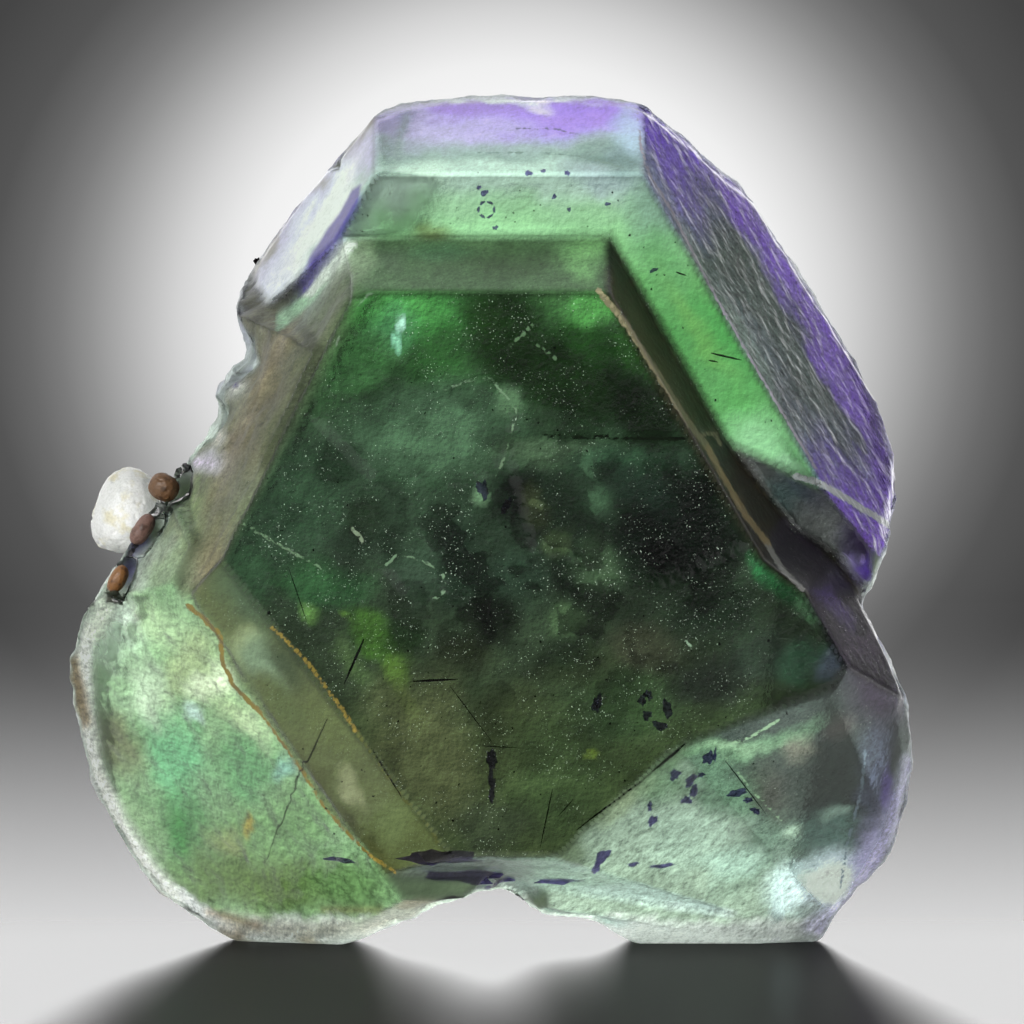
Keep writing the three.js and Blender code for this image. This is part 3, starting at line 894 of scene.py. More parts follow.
# Lines on and just under the surface: corners, half width, colour.
RUST = (142, 118, 56)
TAN = (134, 122, 100)
PLATE_EDGE = (128, 150, 126)
LINES = [
    # Iron stain along both edges of the olive face
    ([(-16.4, 18.6), (-15.4, 17.8), (-14.6, 16.9), (-14.5, 15.5), (-13.9, 14.2), (-12.5, 12.8)], 0.12, RUST),
    ([(-12.5, 12.8), (-11.1, 10.9), (-10.0, 9.3), (-9.1, 7.8), (-7.7, 6.2), (-6.5, 5.0), (-5.1, 4.1)],
     0.07, RUST),
    ([(-11.8, 17.4), (-11.2, 16.9), (-10.1, 15.8), (-9.1, 14.5), (-8.2, 13.3), (-7.2, 11.8)], 0.08, RUST),
    ([(-7.2, 11.8), (-6.0, 10.0), (-4.7, 8.2), (-3.6, 7.1), (-2.8, 5.8)], 0.07, (92, 92, 52)),
    # Tan edge of the dark strip
    ([(5.9, 35.6), (7.3, 33.9), (9.0, 31.3), (10.8, 28.4), (11.7, 27.3)], 0.15, TAN),
    ([(11.5, 27.9), (12.3, 27.9), (12.5, 27.3)], 0.08, TAN),
    ([(11.7, 27.3), (12.6, 25.6), (13.9, 23.4), (15.1, 21.9)], 0.15, (146, 122, 92)),
    ([(15.0, 22.0), (15.8, 20.6), (16.9, 19.5)], 0.12, (150, 142, 146)),
    # Light edge over the chip, and the inner edge of the right bevel
    ([(16.6, 25.6), (17.8, 25.3), (19.4, 24.4), (22.1, 22.8)], 0.16, (150, 148, 156)),
    ([(8.1, 45.4), (8.2, 43.6), (8.7, 42.0), (9.8, 40.2), (12.0, 35.9), (14.4, 31.6), (17.8, 25.9)],
     0.05, (132, 122, 138)),
    # Thin edges of plates in the big face
    ([(-2.6, 30.2), (-1.1, 30.8), (0.1, 30.8), (1.5, 29.1), (1.2, 28.1)], 0.035, PLATE_EDGE),
    ([(1.2, 28.1), (0.8, 26.6), (0.3, 25.5)], 0.03, (104, 124, 100)),
    ([(-5.7, 20.7), (-5.0, 21.4), (-3.6, 21.0), (-2.5, 20.3), (-2.4, 19.3), (-3.1, 18.9)], 0.03, PLATE_EDGE),
    ([(2.9, 27.75), (6.0, 27.7), (10.6, 27.6)], 0.09, (14, 22, 12)),
    ([(-13.3, 23.0), (-11.4, 21.9), (-9.1, 20.6)], 0.045, (120, 142, 116)),
    ([(-7.5, 22.8), (-7.0, 22.3), (-6.9, 22.0)], 0.07, (140, 150, 130)),
    ([(1.1, 32.6), (2.4, 33.9)], 0.035, (96, 120, 92)),
    ([(1.9, 33.2), (3.6, 31.9)], 0.035, (90, 112, 86)),
    ([(10.9, 16.3), (10.5, 16.9)], 0.04, (150, 170, 150)),
    # Edges between the lower right faces
    ([(12.4, 10.9), (14.0, 11.4), (15.6, 12.4)], 0.04, (140, 164, 138)),
    ([(12.6, 10.6), (14.2, 8.6), (15.9, 6.8)], 0.03, (120, 142, 118)),
    ([(20.4, 10.7), (20.2, 8.2), (19.5, 5.4), (19.2, 2.9)], 0.05, (116, 128, 144)),
    # Dark crack beside the grains, and dark wavy lines across the top
    ([(-17.0, 25.2), (-18.2, 23.5), (-18.9, 22.6), (-19.7, 21.2)], 0.13, (62, 54, 66)),
    ([(-0.7, 43.2), (2.6, 43.25), (5.0, 43.0), (6.5, 42.6), (7.5, 42.3)], 0.03, (110, 130, 126)),
    ([(1.4, 44.6), (3.6, 44.55), (5.0, 44.2)], 0.025, (96, 92, 130)),
]

BACK_COLOUR = (238, 247, 240)
FRONT_COLOUR = (84, 96, 76)  # under the faces, where their outlines leave a gap
PURPLE = (150, 122, 200)
LILAC = (176, 160, 210)
# What the material reads besides the colour: roughness, the ripples of grain, scales and pebbles (painted
# shade and highlight, some raised too), dust, milk and veins.
FINISH = {"etch": 0.6, "grain": 0.2, "scales": 0, "pebbles": 0, "dust": 0, "milk": 0, "murk": 0}
WARP, FINE_WARP = 0.8, 0.12  # how far noise moves the outlines of clouds, and of lines and patches
EDGE_ROUNDS = 3  # how often the colours near an edge are averaged with their neighbours
FAR = 1.0  # gap that is given to all that is nowhere near a line


class Canvas(Surface):
    """Colour and finish for every vertex. Colours are as they look with the light behind."""

    def __init__(self, mesh):
        super().__init__(mesh)
        warp = np.stack([fractal(self.points, 2.0, seed, 5) for seed in (11, 12, 13)], axis=1)
        self.wx, _, self.wz = (self.points + WARP * warp).T
        self.fx, _, self.fz = (self.points + FINE_WARP * warp).T
        count = len(self.points)
        self.colour = np.tile(to_linear(BACK_COLOUR), (count, 1))
        self.glow = np.full(count, GLOW["back"])
        self.finish = {name: np.full(count, float(level)) for name, level in FINISH.items()}
        self.big_face = (self.big_face > 0.5).astype(float)
        self.upper_face = (self.upper_face > 0.5).astype(float)
        self.lay((self.front > 0.5).astype(float), FRONT_COLOUR)

    def leaning(self, direction, slope, where=True):
        """The facet, with a sharp outline: keep() softens all of them at once."""
        return self.is_facet(direction, slope, where).astype(float)

    def lay(self, mask, colour, amount=1.0):
        if isinstance(colour, tuple):
            colour = to_linear(colour)
        self.colour = self.colour + (mask * amount)[:, None] * (colour - self.colour)

    def zone(self, mask, colour, glow, **finish):
        """Paints a whole face and says how it shines."""
        self.lay(mask, colour)
        self.glow = self.glow + mask * (GLOW[glow] - self.glow)
        for name, value in finish.items():
            self.finish[name] = self.finish[name] + mask * (value - self.finish[name])

    def clouds(self, mask, table, soft=0.7):
        for x, z, wide, high, turn, *colour, amount in table:
            a = math.radians(turn)
            dx, dz = self.wx - x, self.wz - z
            u = (dx * math.cos(a) + dz * math.sin(a)) / wide
            v = (dz * math.cos(a) - dx * math.sin(a)) / high
            self.lay(mask * smooth(1 + soft, 1 - soft, np.hypot(u, v)), tuple(colour), amount)

    def oval(self, x, z, wide, high, outer, inner):
        """1 inside a soft oval and 0 outside it."""
        return smooth(outer, inner, np.hypot((self.wx - x) / wide, (self.wz - z) / high))

    def stroke(self, mask, corners, half_width, colour, amount=0.8, soft=0.2):
        gap = distance_to_line(self.fx, self.fz, corners) - half_width
        self.lay(mask * smooth(soft, -soft, gap), colour, amount)

    def mottle(self, mask, size, seed, strength, octaves=4):
        """Lightens and darkens a face in soft lumps."""
        change = 1 + strength * fractal(self.points, size, seed, octaves)
        self.colour = self.colour * (1 + mask * (np.clip(change, 0.1, 2) - 1))[:, None]

    def lines(self):
        """The nearest line's colour, and how far off its edge is."""
        gap = np.full(len(self.points), FAR)
        colour = np.tile(to_linear(RUST), (len(gap), 1))
        for corners, half_width, line_colour in LINES:
            own = distance_to_line(self.x, self.z, corners) - half_width
            own = np.where(self.front > 0.5, own, FAR)
            colour[own < gap] = to_linear(line_colour)
            gap = np.minimum(gap, own)
        return gap, colour

    def keep(self):
        """Stores the painting in the mesh. Light crosses the tinted surface twice."""
        for corners, width, rounds in ROUNDED_EDGES:
            self.colour = self.blended(self.colour, corners, width, rounds // 2)
            self.glow = self.blended(self.glow[:, None], corners, width, rounds // 2)[:, 0]
        near_edge = np.clip(4 * self.edge, 0, 1)[:, None]
        softened = smooth_vertices(self.mesh, self.colour, EDGE_ROUNDS)
        self.colour = self.colour + near_edge * (softened - self.colour)
        gap, line_colour = self.lines()
        pale, dark = EDGE_GLOW
        extra = pale + (dark - pale) * smooth(PALE_FACE, DARK_FACE, self.colour.mean(axis=1))
        glow = (self.glow * (1 + extra * self.edge))[:, None] * THROUGH
        store(self.mesh, "tint", np.clip(self.colour / glow, 0, 1) ** 2)
        store(self.mesh, "line_tint", np.clip(line_colour / (self.glow[:, None] * THROUGH), 0, 1) ** 2)
        store(self.mesh, "line_gap", gap)
        for name, values in self.finish.items():
            store(self.mesh, name, values)


def store(mesh, name, values):
    """Keeps a number or colour per vertex, for the material to read."""
    if values.ndim == 1:
        attribute = mesh.attributes.new(name, "FLOAT", "POINT")
        attribute.data.foreach_set("value", values.astype(np.float32))
        return
    attribute = mesh.attributes.new(name, "FLOAT_COLOR", "POINT")
    rgba = np.concatenate([values, np.ones((len(values), 1))], axis=1)
    attribute.data.foreach_set("color", rgba.astype(np.float32).ravel())


def paint_upper_crystal(c):
    """Purple top edge, pale band, green face; white and lavender left bevel with a purple sliver."""
    top = c.leaning(90, CUBE, c.z > 40.5)
    across = gradient(c.wz, [
        (24.0, (126, 180, 134)), (29.0, (104, 164, 104)), (33.0, (88, 150, 88)),
        (36.5, (108, 166, 106)), (38.6, (146, 198, 146)), (40.3, (150, 190, 154)),
        (41.3, (178, 202, 192)), (42.4, (178, 200, 194)), (43.0, (138, 160, 156)),
        (43.9, (146, 158, 168)), (44.4, (168, 156, 206)), (45.6, (160, 138, 214)),
        (46.2, (134, 108, 182)), (46.5, (196, 200, 208)),
    ])
    both = np.maximum(c.upper_face, top)
    c.zone(c.upper_face, across, "flat", etch=0.22, grain=0.3)
    c.zone(top, across, "top bevel", etch=0.25, grain=0.25)
    c.clouds(both, UPPER_CLOUDS)
    c.mottle(both, 1.0, 101, 0.1)

    bevel = c.leaning(150, OCTAHEDRON, c.z > 30)
    out = towards(150, c.wx, c.wz)
    lit = gradient(out, [
        (15.9, (172, 192, 188)), (16.4, (206, 218, 218)), (17.2, (244, 248, 252)),
        (18.1, (226, 228, 248)), (18.7, (192, 184, 222)), (19.2, (164, 156, 160)),
    ])
    c.zone(bevel, lit, "left bevel", etch=0.3, grain=0.2)
    c.clouds(bevel, BEVEL_CLOUDS)
    ridge = [(-4.6, 45.2), (-5.1, 42.8), (-6.6, 40.4), (-8.2, 37.7), (-10.4, 33.6)]
    c.stroke(c.front, ridge, 0.2, (134, 152, 150), 0.75, 0.35)


def paint_right_bevel(c):
    """Scaly, dark in the middle, purple at both ends and along the rim, with painted glints."""
    out, along = towards(30, c.wx, c.wz), towards(120, c.wx, c.wz)
    bevel = c.leaning(30, OCTAHEDRON, c.is_outer)
    length = gradient(along, [
        (-9.0, (104, 66, 172)), (-5.5, (98, 72, 158)), (-2.0, (84, 86, 104)), (8.0, (78, 90, 88)),
        (11.5, (104, 86, 158)), (16.0, (102, 70, 180)),
    ])
    # Glints: painted highlights on the scales; they also roughen the rim band's inner edge.
    glints = smooth(0.2, 0.6, fractal(c.drawn_out(125, 1.5), 0.6, 121, 3))
    c.zone(bevel, length, "right bevel", etch=0.16, grain=0.4, scales=0.6)
    inner = smooth(18.8, 18.0, out) * smooth(-6, 0, along)
    c.lay(bevel * inner, (104, 118, 112), 0.6)
    middle = smooth(1.7, 0.5, np.abs(out - 20.2)) * smooth(14, 10, along) * smooth(-8, -4, along)
    c.lay(bevel * middle, (70, 80, 76), 0.75)
    c.lay(bevel * smooth(20.7, 21.6, out), (112, 78, 178), 0.85)
    c.lay(bevel * smooth(22.3, 22.7, out + 0.3 * glints), (130, 118, 164), 0.7)
    c.lay(bevel * glints * smooth(22.6, 21.5, out), (140, 144, 152), 0.35)
    c.mottle(bevel, 1.6, 123, 0.3)


def paint_dark_strip(c):
    """Nearly black, dusty, and a little lighter along its inner edge."""
    strip = np.maximum(c.leaning(30, OCTAHEDRON, ~c.is_outer), c.leaning(53, OCTAHEDRON))
    c.zone(strip, (46, 40, 30), "strip", etch=0.3, grain=0.8, dust=0.9)
    c.mottle(strip, 0.5, 191, 0.7, 3)
    light = smooth(13.9, 13.2, c.towards(30)) * smooth(-8, 4, c.towards(120))
    c.lay(strip * light, (74, 64, 42), 0.6)


def paint_big_face(c):
    """Dark green, cloudy, dusty, with painted shade in its dark middle and along a stain; olive towards the
    bottom.
    """
    base = gradient(c.wz, [
        (5.0, (70, 82, 52)), (10.0, (66, 80, 50)), (15.0, (54, 66, 48)), (22.0, (46, 62, 48)),
        (28.0, (50, 70, 52)), (36.0, (62, 104, 58)),
    ])
    face = c.big_face
    heart = c.oval(4.5, 20.5, 9, 6.5, 1.5, 0.7)
    c.zone(face, base, "flat", etch=0.1, grain=0.5, dust=0.55, murk=0.3 + 0.7 * heart)
    c.clouds(face, FACE_CLOUDS, soft=0.5)
    c.mottle(face, 1.3, 131, 0.55, 6)
    edge = [(-7.6, 37.0), (-8.3, 33.6), (-10.6, 29.6), (-12.8, 25.6), (-14.8, 22.0), (-15.8, 20.0)]
    c.stroke(face, edge, 0.35, (100, 112, 88), 0.75, 0.9)
    # Painted shade along the right side of the inner iron stain.
    shade = [(-11.4, 17.4), (-10.2, 16.3), (-9.0, 14.9), (-8.0, 13.6)]
    c.stroke(face, shade, 0.2, (40, 50, 36), 0.8, 0.5)
    bevel = c.leaning(90, CUBE, c.z < 40)
    c.zone(bevel, (68, 92, 64), "top bevel", etch=0.3, grain=0.5, dust=0.3)
    c.clouds(bevel, FRONT_BEVEL_CLOUDS)
    c.mottle(bevel, 0.8, 133, 0.25)


def paint_left_side(c):
    """Matte brown-green shoulder, rippled mint cube face, smooth olive face between stained edges."""
    matte = c.matte()
    along = towards(65, c.wx, c.wz)
    length = gradient(along, [
        (-9.0, (190, 206, 186)), (-6.0, (138, 150, 118)), (-1.0, (120, 126, 96)), (4.0, (122, 120, 96)),
        (9.0, (116, 116, 94)), (12.0, (124, 138, 112)),
    ])
    c.zone(matte, length, "matte", etch=0.5, grain=0.5, dust=0.1)
    c.clouds(matte, MATTE_CLOUDS)
    streaks = smooth(0.1, 0.6, fractal(c.drawn_out(60, 5), 0.9, 141, 3))
    c.lay(matte * streaks, (160, 156, 142), 0.5)
    tan = [(-9.6, 36.4), (-12.4, 30.5), (-14.4, 25.4), (-16.0, 19.4)]
    c.stroke(matte, tan, 0.6, (158, 138, 118), 0.75, 0.9)
    brown = [(-11.5, 30.2), (-13.2, 26.6)]
    c.stroke(matte, brown, 0.5, (122, 92, 76), 0.5, 0.6)
    green = [(-8.4, 36.2), (-10.2, 32.6), (-13.2, 26.6), (-15.4, 22.0)]
    c.stroke(matte, green, 0.3, (78, 90, 68), 0.8, 0.9)
    c.mottle(matte, 1.1, 143, 0.4)

    cube = c.leaning(216, CUBE)
    pale_corner = c.oval(-20.4, 16.4, 3.0, 4.2, 1.6, 0.5)
    c.zone(cube, (146, 180, 138), "left cube", etch=0.18, grain=0.3, pebbles=0.5)
    c.glow = c.glow * (1 - 0.25 * pale_corner * cube)
    c.clouds(cube, CUBE_CLOUDS)
    c.mottle(cube, 1.6, 151, 0.2)

    olive = c.leaning(218, DODECAHEDRON)
    c.zone(olive, (92, 98, 64), "olive", etch=0.14, grain=0.25, dust=0.1)
    c.clouds(olive, OLIVE_CLOUDS)
    c.mottle(olive, 1.4, 153, 0.12)
    under_stain = [(-16.2, 18.8), (-14.6, 16.9), (-14.4, 15.4), (-12.5, 12.8), (-11.1, 10.9), (-10.0, 9.3),
                   (-9.1, 7.8), (-7.7, 6.2), (-5.1, 4.1), (-4.0, 5.5), (-12.0, 17.4), (-15.6, 20.4)]
    c.lay(cube * smooth(-0.1, 0.1, depth_inside(c.fx, c.fz, under_stain)), (104, 116, 76), 0.9)
    stain = [(-14.5, 15.5), (-12.5, 12.8), (-10.0, 9.3), (-7.7, 6.2), (-5.1, 4.1)]
    c.stroke(olive, stain, 0.25, (84, 82, 44), 0.7, 0.5)


def paint_lower_right(c):
    """Frosted mint corner, smooth grey face, dark purple flank with a lavender foot."""
    frost = np.maximum(c.leaning(312, BROKEN), c.leaning(300, DODECAHEDRON))
    c.zone(frost, (128, 142, 130), "frost", etch=0.3, grain=0.5, pebbles=0.6, murk=0.2)
    c.mottle(frost, 2.2, 181, 0.35)
    grey = np.maximum(c.leaning(291, SPLIT), c.leaning(330, CUBE, c.z < 18))
    c.zone(grey, (68, 76, 74), "grey right", etch=0.16, grain=0.5, dust=0.25)
    flank = c.leaning(0, ETCHED)
    c.zone(flank, (92, 86, 112), "outer right", etch=0.3, grain=0.4, scales=0.3)
    chip = c.leaning(243, BROKEN)
    c.zone(chip, (66, 66, 68), "chip", etch=0.18, grain=0.4, dust=0.2)
    low = (frost + grey) * smooth(6.5, 3.5, c.z)
    c.glow = c.glow * (1 - 0.5 * np.clip(low, 0, 1))
    foot = c.oval(18.2, 2.6, 3.0, 2.4, 1.5, 0.6)
    c.finish["milk"] = np.maximum(c.finish["milk"], 0.1 * foot * c.front)
    side = c.leaning(30, OCTAHEDRON, c.z < 19)
    c.zone(side, (58, 46, 66), "strip", etch=0.25, grain=0.6, dust=0.2)
    c.clouds(np.maximum.reduce([frost, grey, flank, side]), LOWER_RIGHT_CLOUDS)
    c.clouds(chip, CHIP_CLOUDS)


def paint_underside(c):
    """Green on the left, grey in the middle, pale on the right."""
    below = c.leaning(270, OCTAHEDRON)
    across = gradient(c.wx, [
        (-18.0, (112, 138, 76)), (-8.0, (112, 132, 84)), (-3.0, (104, 108, 112)),
        (3.0, (150, 172, 160)), (8.0, (190, 212, 210)), (16.0, (196, 214, 226)),
    ])
    c.zone(below, across, "below", etch=0.35, grain=0.6)
    c.clouds(below, BELOW_CLOUDS)


# Bands along the rim: corners, half width, colour, strength, softness.
RIM_BANDS = [
    ([(-22.3, 17.0), (-22.3, 13.5), (-21.9, 9.9), (-20.6, 6.6), (-18.9, 3.9), (-17.6, 2.4)], 0.55,
     (240, 244, 238), 0.9, 0.4),
    ([(-23.1, 13.5), (-22.9, 9.6), (-21.6, 5.8), (-19.3, 2.2), (-17.5, 1.2)], 0.22,
     (140, 116, 76), 0.8, 0.3),
    ([(-23.1, 15.4), (-22.5, 12.2)], 0.5, (150, 130, 88), 0.8, 0.3),
    ([(-22.6, 18.5), (-21.0, 21.0), (-19.8, 22.6)], 0.5, (226, 228, 220), 0.8, 0.4),
    ([(-14.4, 1.0), (-10.0, 0.7), (-6.4, 1.1), (-3.4, 1.6)], 0.5, (222, 220, 210), 0.8, 0.5),
    ([(-15.5, 1.6), (-12.8, 0.9)], 0.2, (150, 120, 80), 0.6, 0.3),
    ([(-9.0, 1.9), (-6.0, 2.1)], 0.15, (150, 126, 86), 0.5, 0.3),
    ([(17.6, 0.9), (19.8, 2.2), (21.6, 5.6), (22.9, 10.0)], 0.4, (214, 210, 236), 0.8, 0.4),
    ([(-7.0, 45.3), (-2.0, 46.5), (4.0, 46.6), (8.6, 46.4)], 0.22, (214, 216, 226), 0.8, 0.25),
    ([(11.0, 44.6), (14.5, 41.2), (18.4, 35.6), (21.4, 30.4), (22.4, 26.0), (22.3, 23.5)], 0.18,
     (206, 202, 224), 0.8, 0.25),
    ([(-15.5, 30.4), (-14.0, 30.6)], 0.6, (236, 236, 234), 0.85, 0.5),
    ([(-15.8, 28.9), (-14.9, 27.7)], 0.5, (226, 222, 218), 0.85, 0.4),
    ([(-17.0, 26.4), (-15.2, 26.2)], 0.4, (226, 216, 236), 0.85, 0.4),
    ([(-14.2, 31.0), (-13.9, 30.6)], 0.15, (92, 70, 150), 0.9, 0.15),
    ([(-18.9, 23.9), (-19.4, 21.8), (-20.0, 19.8)], 0.22, (100, 76, 168), 0.85, 0.2),
    ([(-21.6, 17.2), (-20.6, 19.4)], 0.6, (232, 238, 226), 0.8, 0.5),
]


def paint_rim(c):
    """A white, fractured fringe all round, brown where iron stains it, purple inside it."""
    broken = fractal(c.points, 1.4, 161, 4)
    purple_side = np.clip(smooth(24, 40, c.z) + smooth(14, 20, c.x), 0, 1)
    purple = smooth(4.2, 1.2, c.rim + 0.8 * broken) * purple_side
    c.lay(c.back * purple, PURPLE, 0.85)
    c.lay(c.wall * purple_side, LILAC, 0.7)
    fringe = smooth(0.45, 0.1, c.rim + 0.25 * broken)
    lower_left = smooth(-4, -12, c.x) * smooth(22, 14, c.z)
    fringe = np.maximum(fringe, lower_left * c.front * smooth(1.8, 1.1, c.rim + 0.5 * broken))
    bottom = smooth(1.7, 0.8, c.z + 0.8 * broken) * smooth(-20, -14, c.x)
    fringe = np.maximum(fringe, bottom)
    c.zone(fringe, (236, 240, 240), "rim", etch=0.5, grain=0.3, milk=0.5)
    c.lay(fringe * smooth(0.1, 0.4, broken) * purple_side, (176, 160, 212), 0.6)
    stain = fringe * smooth(0.15, 0.5, fractal(c.points, 3.0, 171, 3)) * smooth(2, -12, c.x)
    c.lay(stain, (150, 128, 84), 0.75)
    for corners, half_width, colour, amount, soft in RIM_BANDS:
        gap = distance_to_line(c.fx, c.fz, corners) - half_width
        c.zone(c.front * smooth(soft, -soft, gap) * amount, colour, "rim", milk=0.5, etch=0.4)


def paint_crystal(mesh):
    c = Canvas(mesh)
    paint_underside(c)
    paint_left_side(c)
    paint_big_face(c)
    paint_upper_crystal(c)
    paint_right_bevel(c)
    paint_dark_strip(c)
    paint_lower_right(c)
    for corners, colour, amount, soft in PATCHES:
        depth = depth_inside(c.fx, c.fz, corners)
        c.lay(c.front * smooth(-soft, soft, depth), colour, amount)
    paint_rim(c)
    c.keep()


IOR = 1.434  # of fluorite
SPECULAR = 0.1
ABSORPTION = {"Color": (0.6, 0.92, 0.65, 1), "Density": 12}
# Ripples that lighten and darken the tint as painted shade and highlight, lit from the upper left: where,
# size, detail, direction, stretch, contrast, and whether they are raised as well.
RIPPLE_SHADE_AND_RELIEF = [
    ("grain", 0.2, 2, 0.0, 1.0, 0.6, False),
    ("grain", 0.6, 4, 0.0, 1.0, 0.5, True),
    ("scales", 0.38, 3, 120, 1.35, 0.8, True),
    ("pebbles", 0.42, 3, 25, 1.6, 0.6, False),
]
RAISED = 0.07  # height of the raised ripples
DUST = (190, 198, 186)


def fluorite_material():
    """Clear fluorite, with tinted zones, painted ripple shade and highlight, dark veins, thin lines, and
    patches of dust and milk.
    """
    m = Material("fluorite")
    strengths = {name: m.value(name) for name in ("grain", "scales", "pebbles")}
    relief, ripple_shade_and_veins = 0.0, 1.0
    # Each ripple adds painted shade and highlight to the tint, as if lit from the upper left.
    for name, size, detail, turn, stretch, contrast, is_raised in RIPPLE_SHADE_AND_RELIEF:
        lit, height = m.ripples(size, detail, turn, stretch)
        ripple_shade_and_veins = m.math("ADD", ripple_shade_and_veins, m.times(m.times(lit, contrast), strengths[name]))
        if is_raised:
            relief = m.math("ADD", relief, m.times(height, strengths[name]))
    ripple_shade_and_veins = m.math("POWER", m.math("MAXIMUM", ripple_shade_and_veins, 0.15), 2.0)
    veins = m.times(m.step(m.noise(2.4, 6), 0.5, 0.55), m.value("murk"))
    ripple_shade_and_veins = m.times(ripple_shade_and_veins, m.math("SUBTRACT", 1.0, m.times(veins, 0.85)))
    tint = m.scaled(m.colour("tint"), ripple_shade_and_veins)
    wobble = m.mapped(m.noise(0.3, 3), 0.25, 0.75, -0.08, 0.08)
    line = m.step(m.math("ADD", m.value("line_gap"), wobble), 0.05, -0.03)
    tint = m.mix(line, tint, m.colour("line_tint"))
    specks = m.step(m.noise(0.09, 1), 0.7, 0.78)
    patches = m.step(m.noise(1.6, 4), 0.45, 0.7)
    dusty = m.math("MULTIPLY", m.times(specks, patches), m.value("dust"), clamp=True)
    cloudy = m.math("ADD", m.times(dusty, 0.6), m.value("milk"), clamp=True)
    m.fill(m.shader, {
        "Base Color": m.at_most_white(m.mix(dusty, tint, opaque(DUST))),
        "Transmission Weight": m.math("SUBTRACT", 1.0, cloudy),
        "Roughness": m.math("ADD", m.value("etch"), m.times(dusty, 0.4)),
        "IOR": IOR,
        "Specular IOR Level": SPECULAR,
    })
    m.bump(relief, RAISED)
    volume = m.add("ShaderNodeVolumeAbsorption", ABSORPTION)
    m.fill(m.output, {"Volume": volume.outputs[0]})
    return m.material


def make_crystal():
    piece = new_piece("crystal", CRYSTAL)
    mesh = shape_crystal(piece)
    paint_crystal(mesh)
    mesh.materials.append(fluorite_material())
    shade_smooth(mesh)
    # Its own origin is on the growth axis.
    set_coordinates(mesh, coordinates(mesh) - np.array((0, 0, AXIS_Z * MM)))
    piece.location.z = AXIS_Z * MM
    bpy.context.view_layer.update()
    return piece


# ---- What is sealed inside ----
# Needles: both ends, radius in the middle, depth under the front.
NEEDLES = [
    ((-10.9, 20.7), (-9.9, 17.7), 0.03, 0.5),
    ((-6.8, 16.8), (-7.9, 14.3), 0.08, 0.6),
    ((-6.4, 10.9), (-4.7, 8.2), 0.04, 0.6),
    ((-4.2, 14.5), (-1.7, 14.6), 0.07, 0.5),
    ((10.6, 11.2), (8.7, 9.6), 0.07, 0.5),
    ((8.7, 9.6), (4.6, 6.4), 0.045, 0.7),
    ((3.4, 8.7), (2.7, 5.4), 0.04, 0.5),
    ((4.5, 8.1), (3.7, 7.2), 0.035, 0.5),
    ((12.7, 10.3), (15.0, 7.3), 0.035, 0.5),
    ((-0.4, 11.0), (1.5, 10.9), 0.035, 0.5),
    ((-17.0, 1.9), (-15.8, 1.3), 0.06, 0.4),
    ((12.0, 32.3), (13.7, 31.9), 0.06, 0.5),
    ((11.9, 31.9), (12.4, 31.8), 0.05, 0.5),
    ((10.1, 36.7), (10.7, 36.5), 0.05, 0.5),
    ((-8.4, 12.8), (-11.9, 4.6), 0.06, 2.6),
    ((-2.2, 14.3), (0.2, 11.1), 0.03, 0.5),
]
# Flakes: x and z of the middle, two radii, turn in degrees, depth under the front.
PURPLE_FLAKES = [
    (6.05, 5.06, 0.5, 0.34, 20, 0.5), (5.7, 4.45, 0.22, 0.42, -15, 0.5), (7.7, 4.6, 0.4, 0.12, 0, 0.5),
    (9.3, 4.5, 0.75, 0.14, 0, 0.5), (9.95, 9.5, 0.3, 0.36, 0, 0.5), (10.8, 9.2, 0.3, 0.42, -20, 0.6),
    (11.0, 8.6, 0.26, 0.36, 10, 0.5), (10.6, 8.1, 0.3, 0.26, 0, 0.5), (11.4, 9.5, 0.2, 0.2, 0, 0.5),
    (8.6, 7.8, 0.16, 0.3, 0, 0.5), (8.75, 7.0, 0.3, 0.3, 0, 0.5), (13.4, 8.5, 0.5, 0.3, 10, 0.5),
    (14.0, 8.1, 0.26, 0.2, 0, 0.5), (14.4, 7.5, 0.3, 0.2, -30, 0.5), (11.8, 10.45, 0.35, 0.42, 0, 0.5),
    (12.15, 10.6, 0.09, 0.46, 0, 0.5), (8.25, 13.5, 0.2, 0.35, -15, 0.5),
    (8.6, 13.75, 0.2, 0.26, 0, 0.5), (9.6, 13.0, 0.26, 0.5, 20, 0.5), (9.2, 12.1, 0.5, 0.2, -15, 0.5),
    (8.5, 12.65, 0.26, 0.26, 0, 0.5), (5.8, 13.3, 0.26, 0.5, -10, 0.5),
    (-0.4, 24.9, 0.35, 0.45, 30, 0.6), (0.9, 24.0, 0.2, 0.5, -20, 0.6), (0.1, 10.3, 0.3, 0.5, 0, 0.6),
    (0.1, 8.9, 0.2, 0.9, 0, 0.6), (-2.7, 5.0, 1.9, 0.42, -2, 0.6), (-1.4, 4.0, 2.5, 0.4, -3, 0.5),
    (0.6, 3.7, 0.8, 0.22, 5, 0.4), (3.7, 3.7, 1.3, 0.25, 0, 0.4), (-8.0, 4.8, 0.9, 0.16, 0, 0.6),
    (8.9, 36.8, 0.22, 0.12, 30, 0.5), (-0.3, 41.0, 0.25, 0.14, 30, 0.5),
    (2.1, 42.0, 0.2, 0.12, -10, 0.5), (2.9, 42.1, 0.16, 0.1, 0, 0.5), (4.2, 42.0, 0.14, 0.12, 0, 0.5),
    (-0.6, 41.3, 0.14, 0.1, 0, 0.5), (3.5, 40.8, 0.14, 0.12, 0, 0.5), (6.4, 40.4, 0.16, 0.1, 20, 0.5),
    (4.3, 40.1, 0.12, 0.1, 0, 0.5), (0.3, 39.1, 0.14, 0.14, 0, 0.5),
]
RING = {"middle": (-0.2, 40.1), "radius": 0.42, "flakes": 6, "size": (0.17, 0.08), "depth": 0.5}
BLACK_FLAKES = [
    (-12.8, 37.4, 0.2, 0.26, 10, 0.35), (-12.4, 35.1, 0.08, 0.08, 0, 0.35),
]
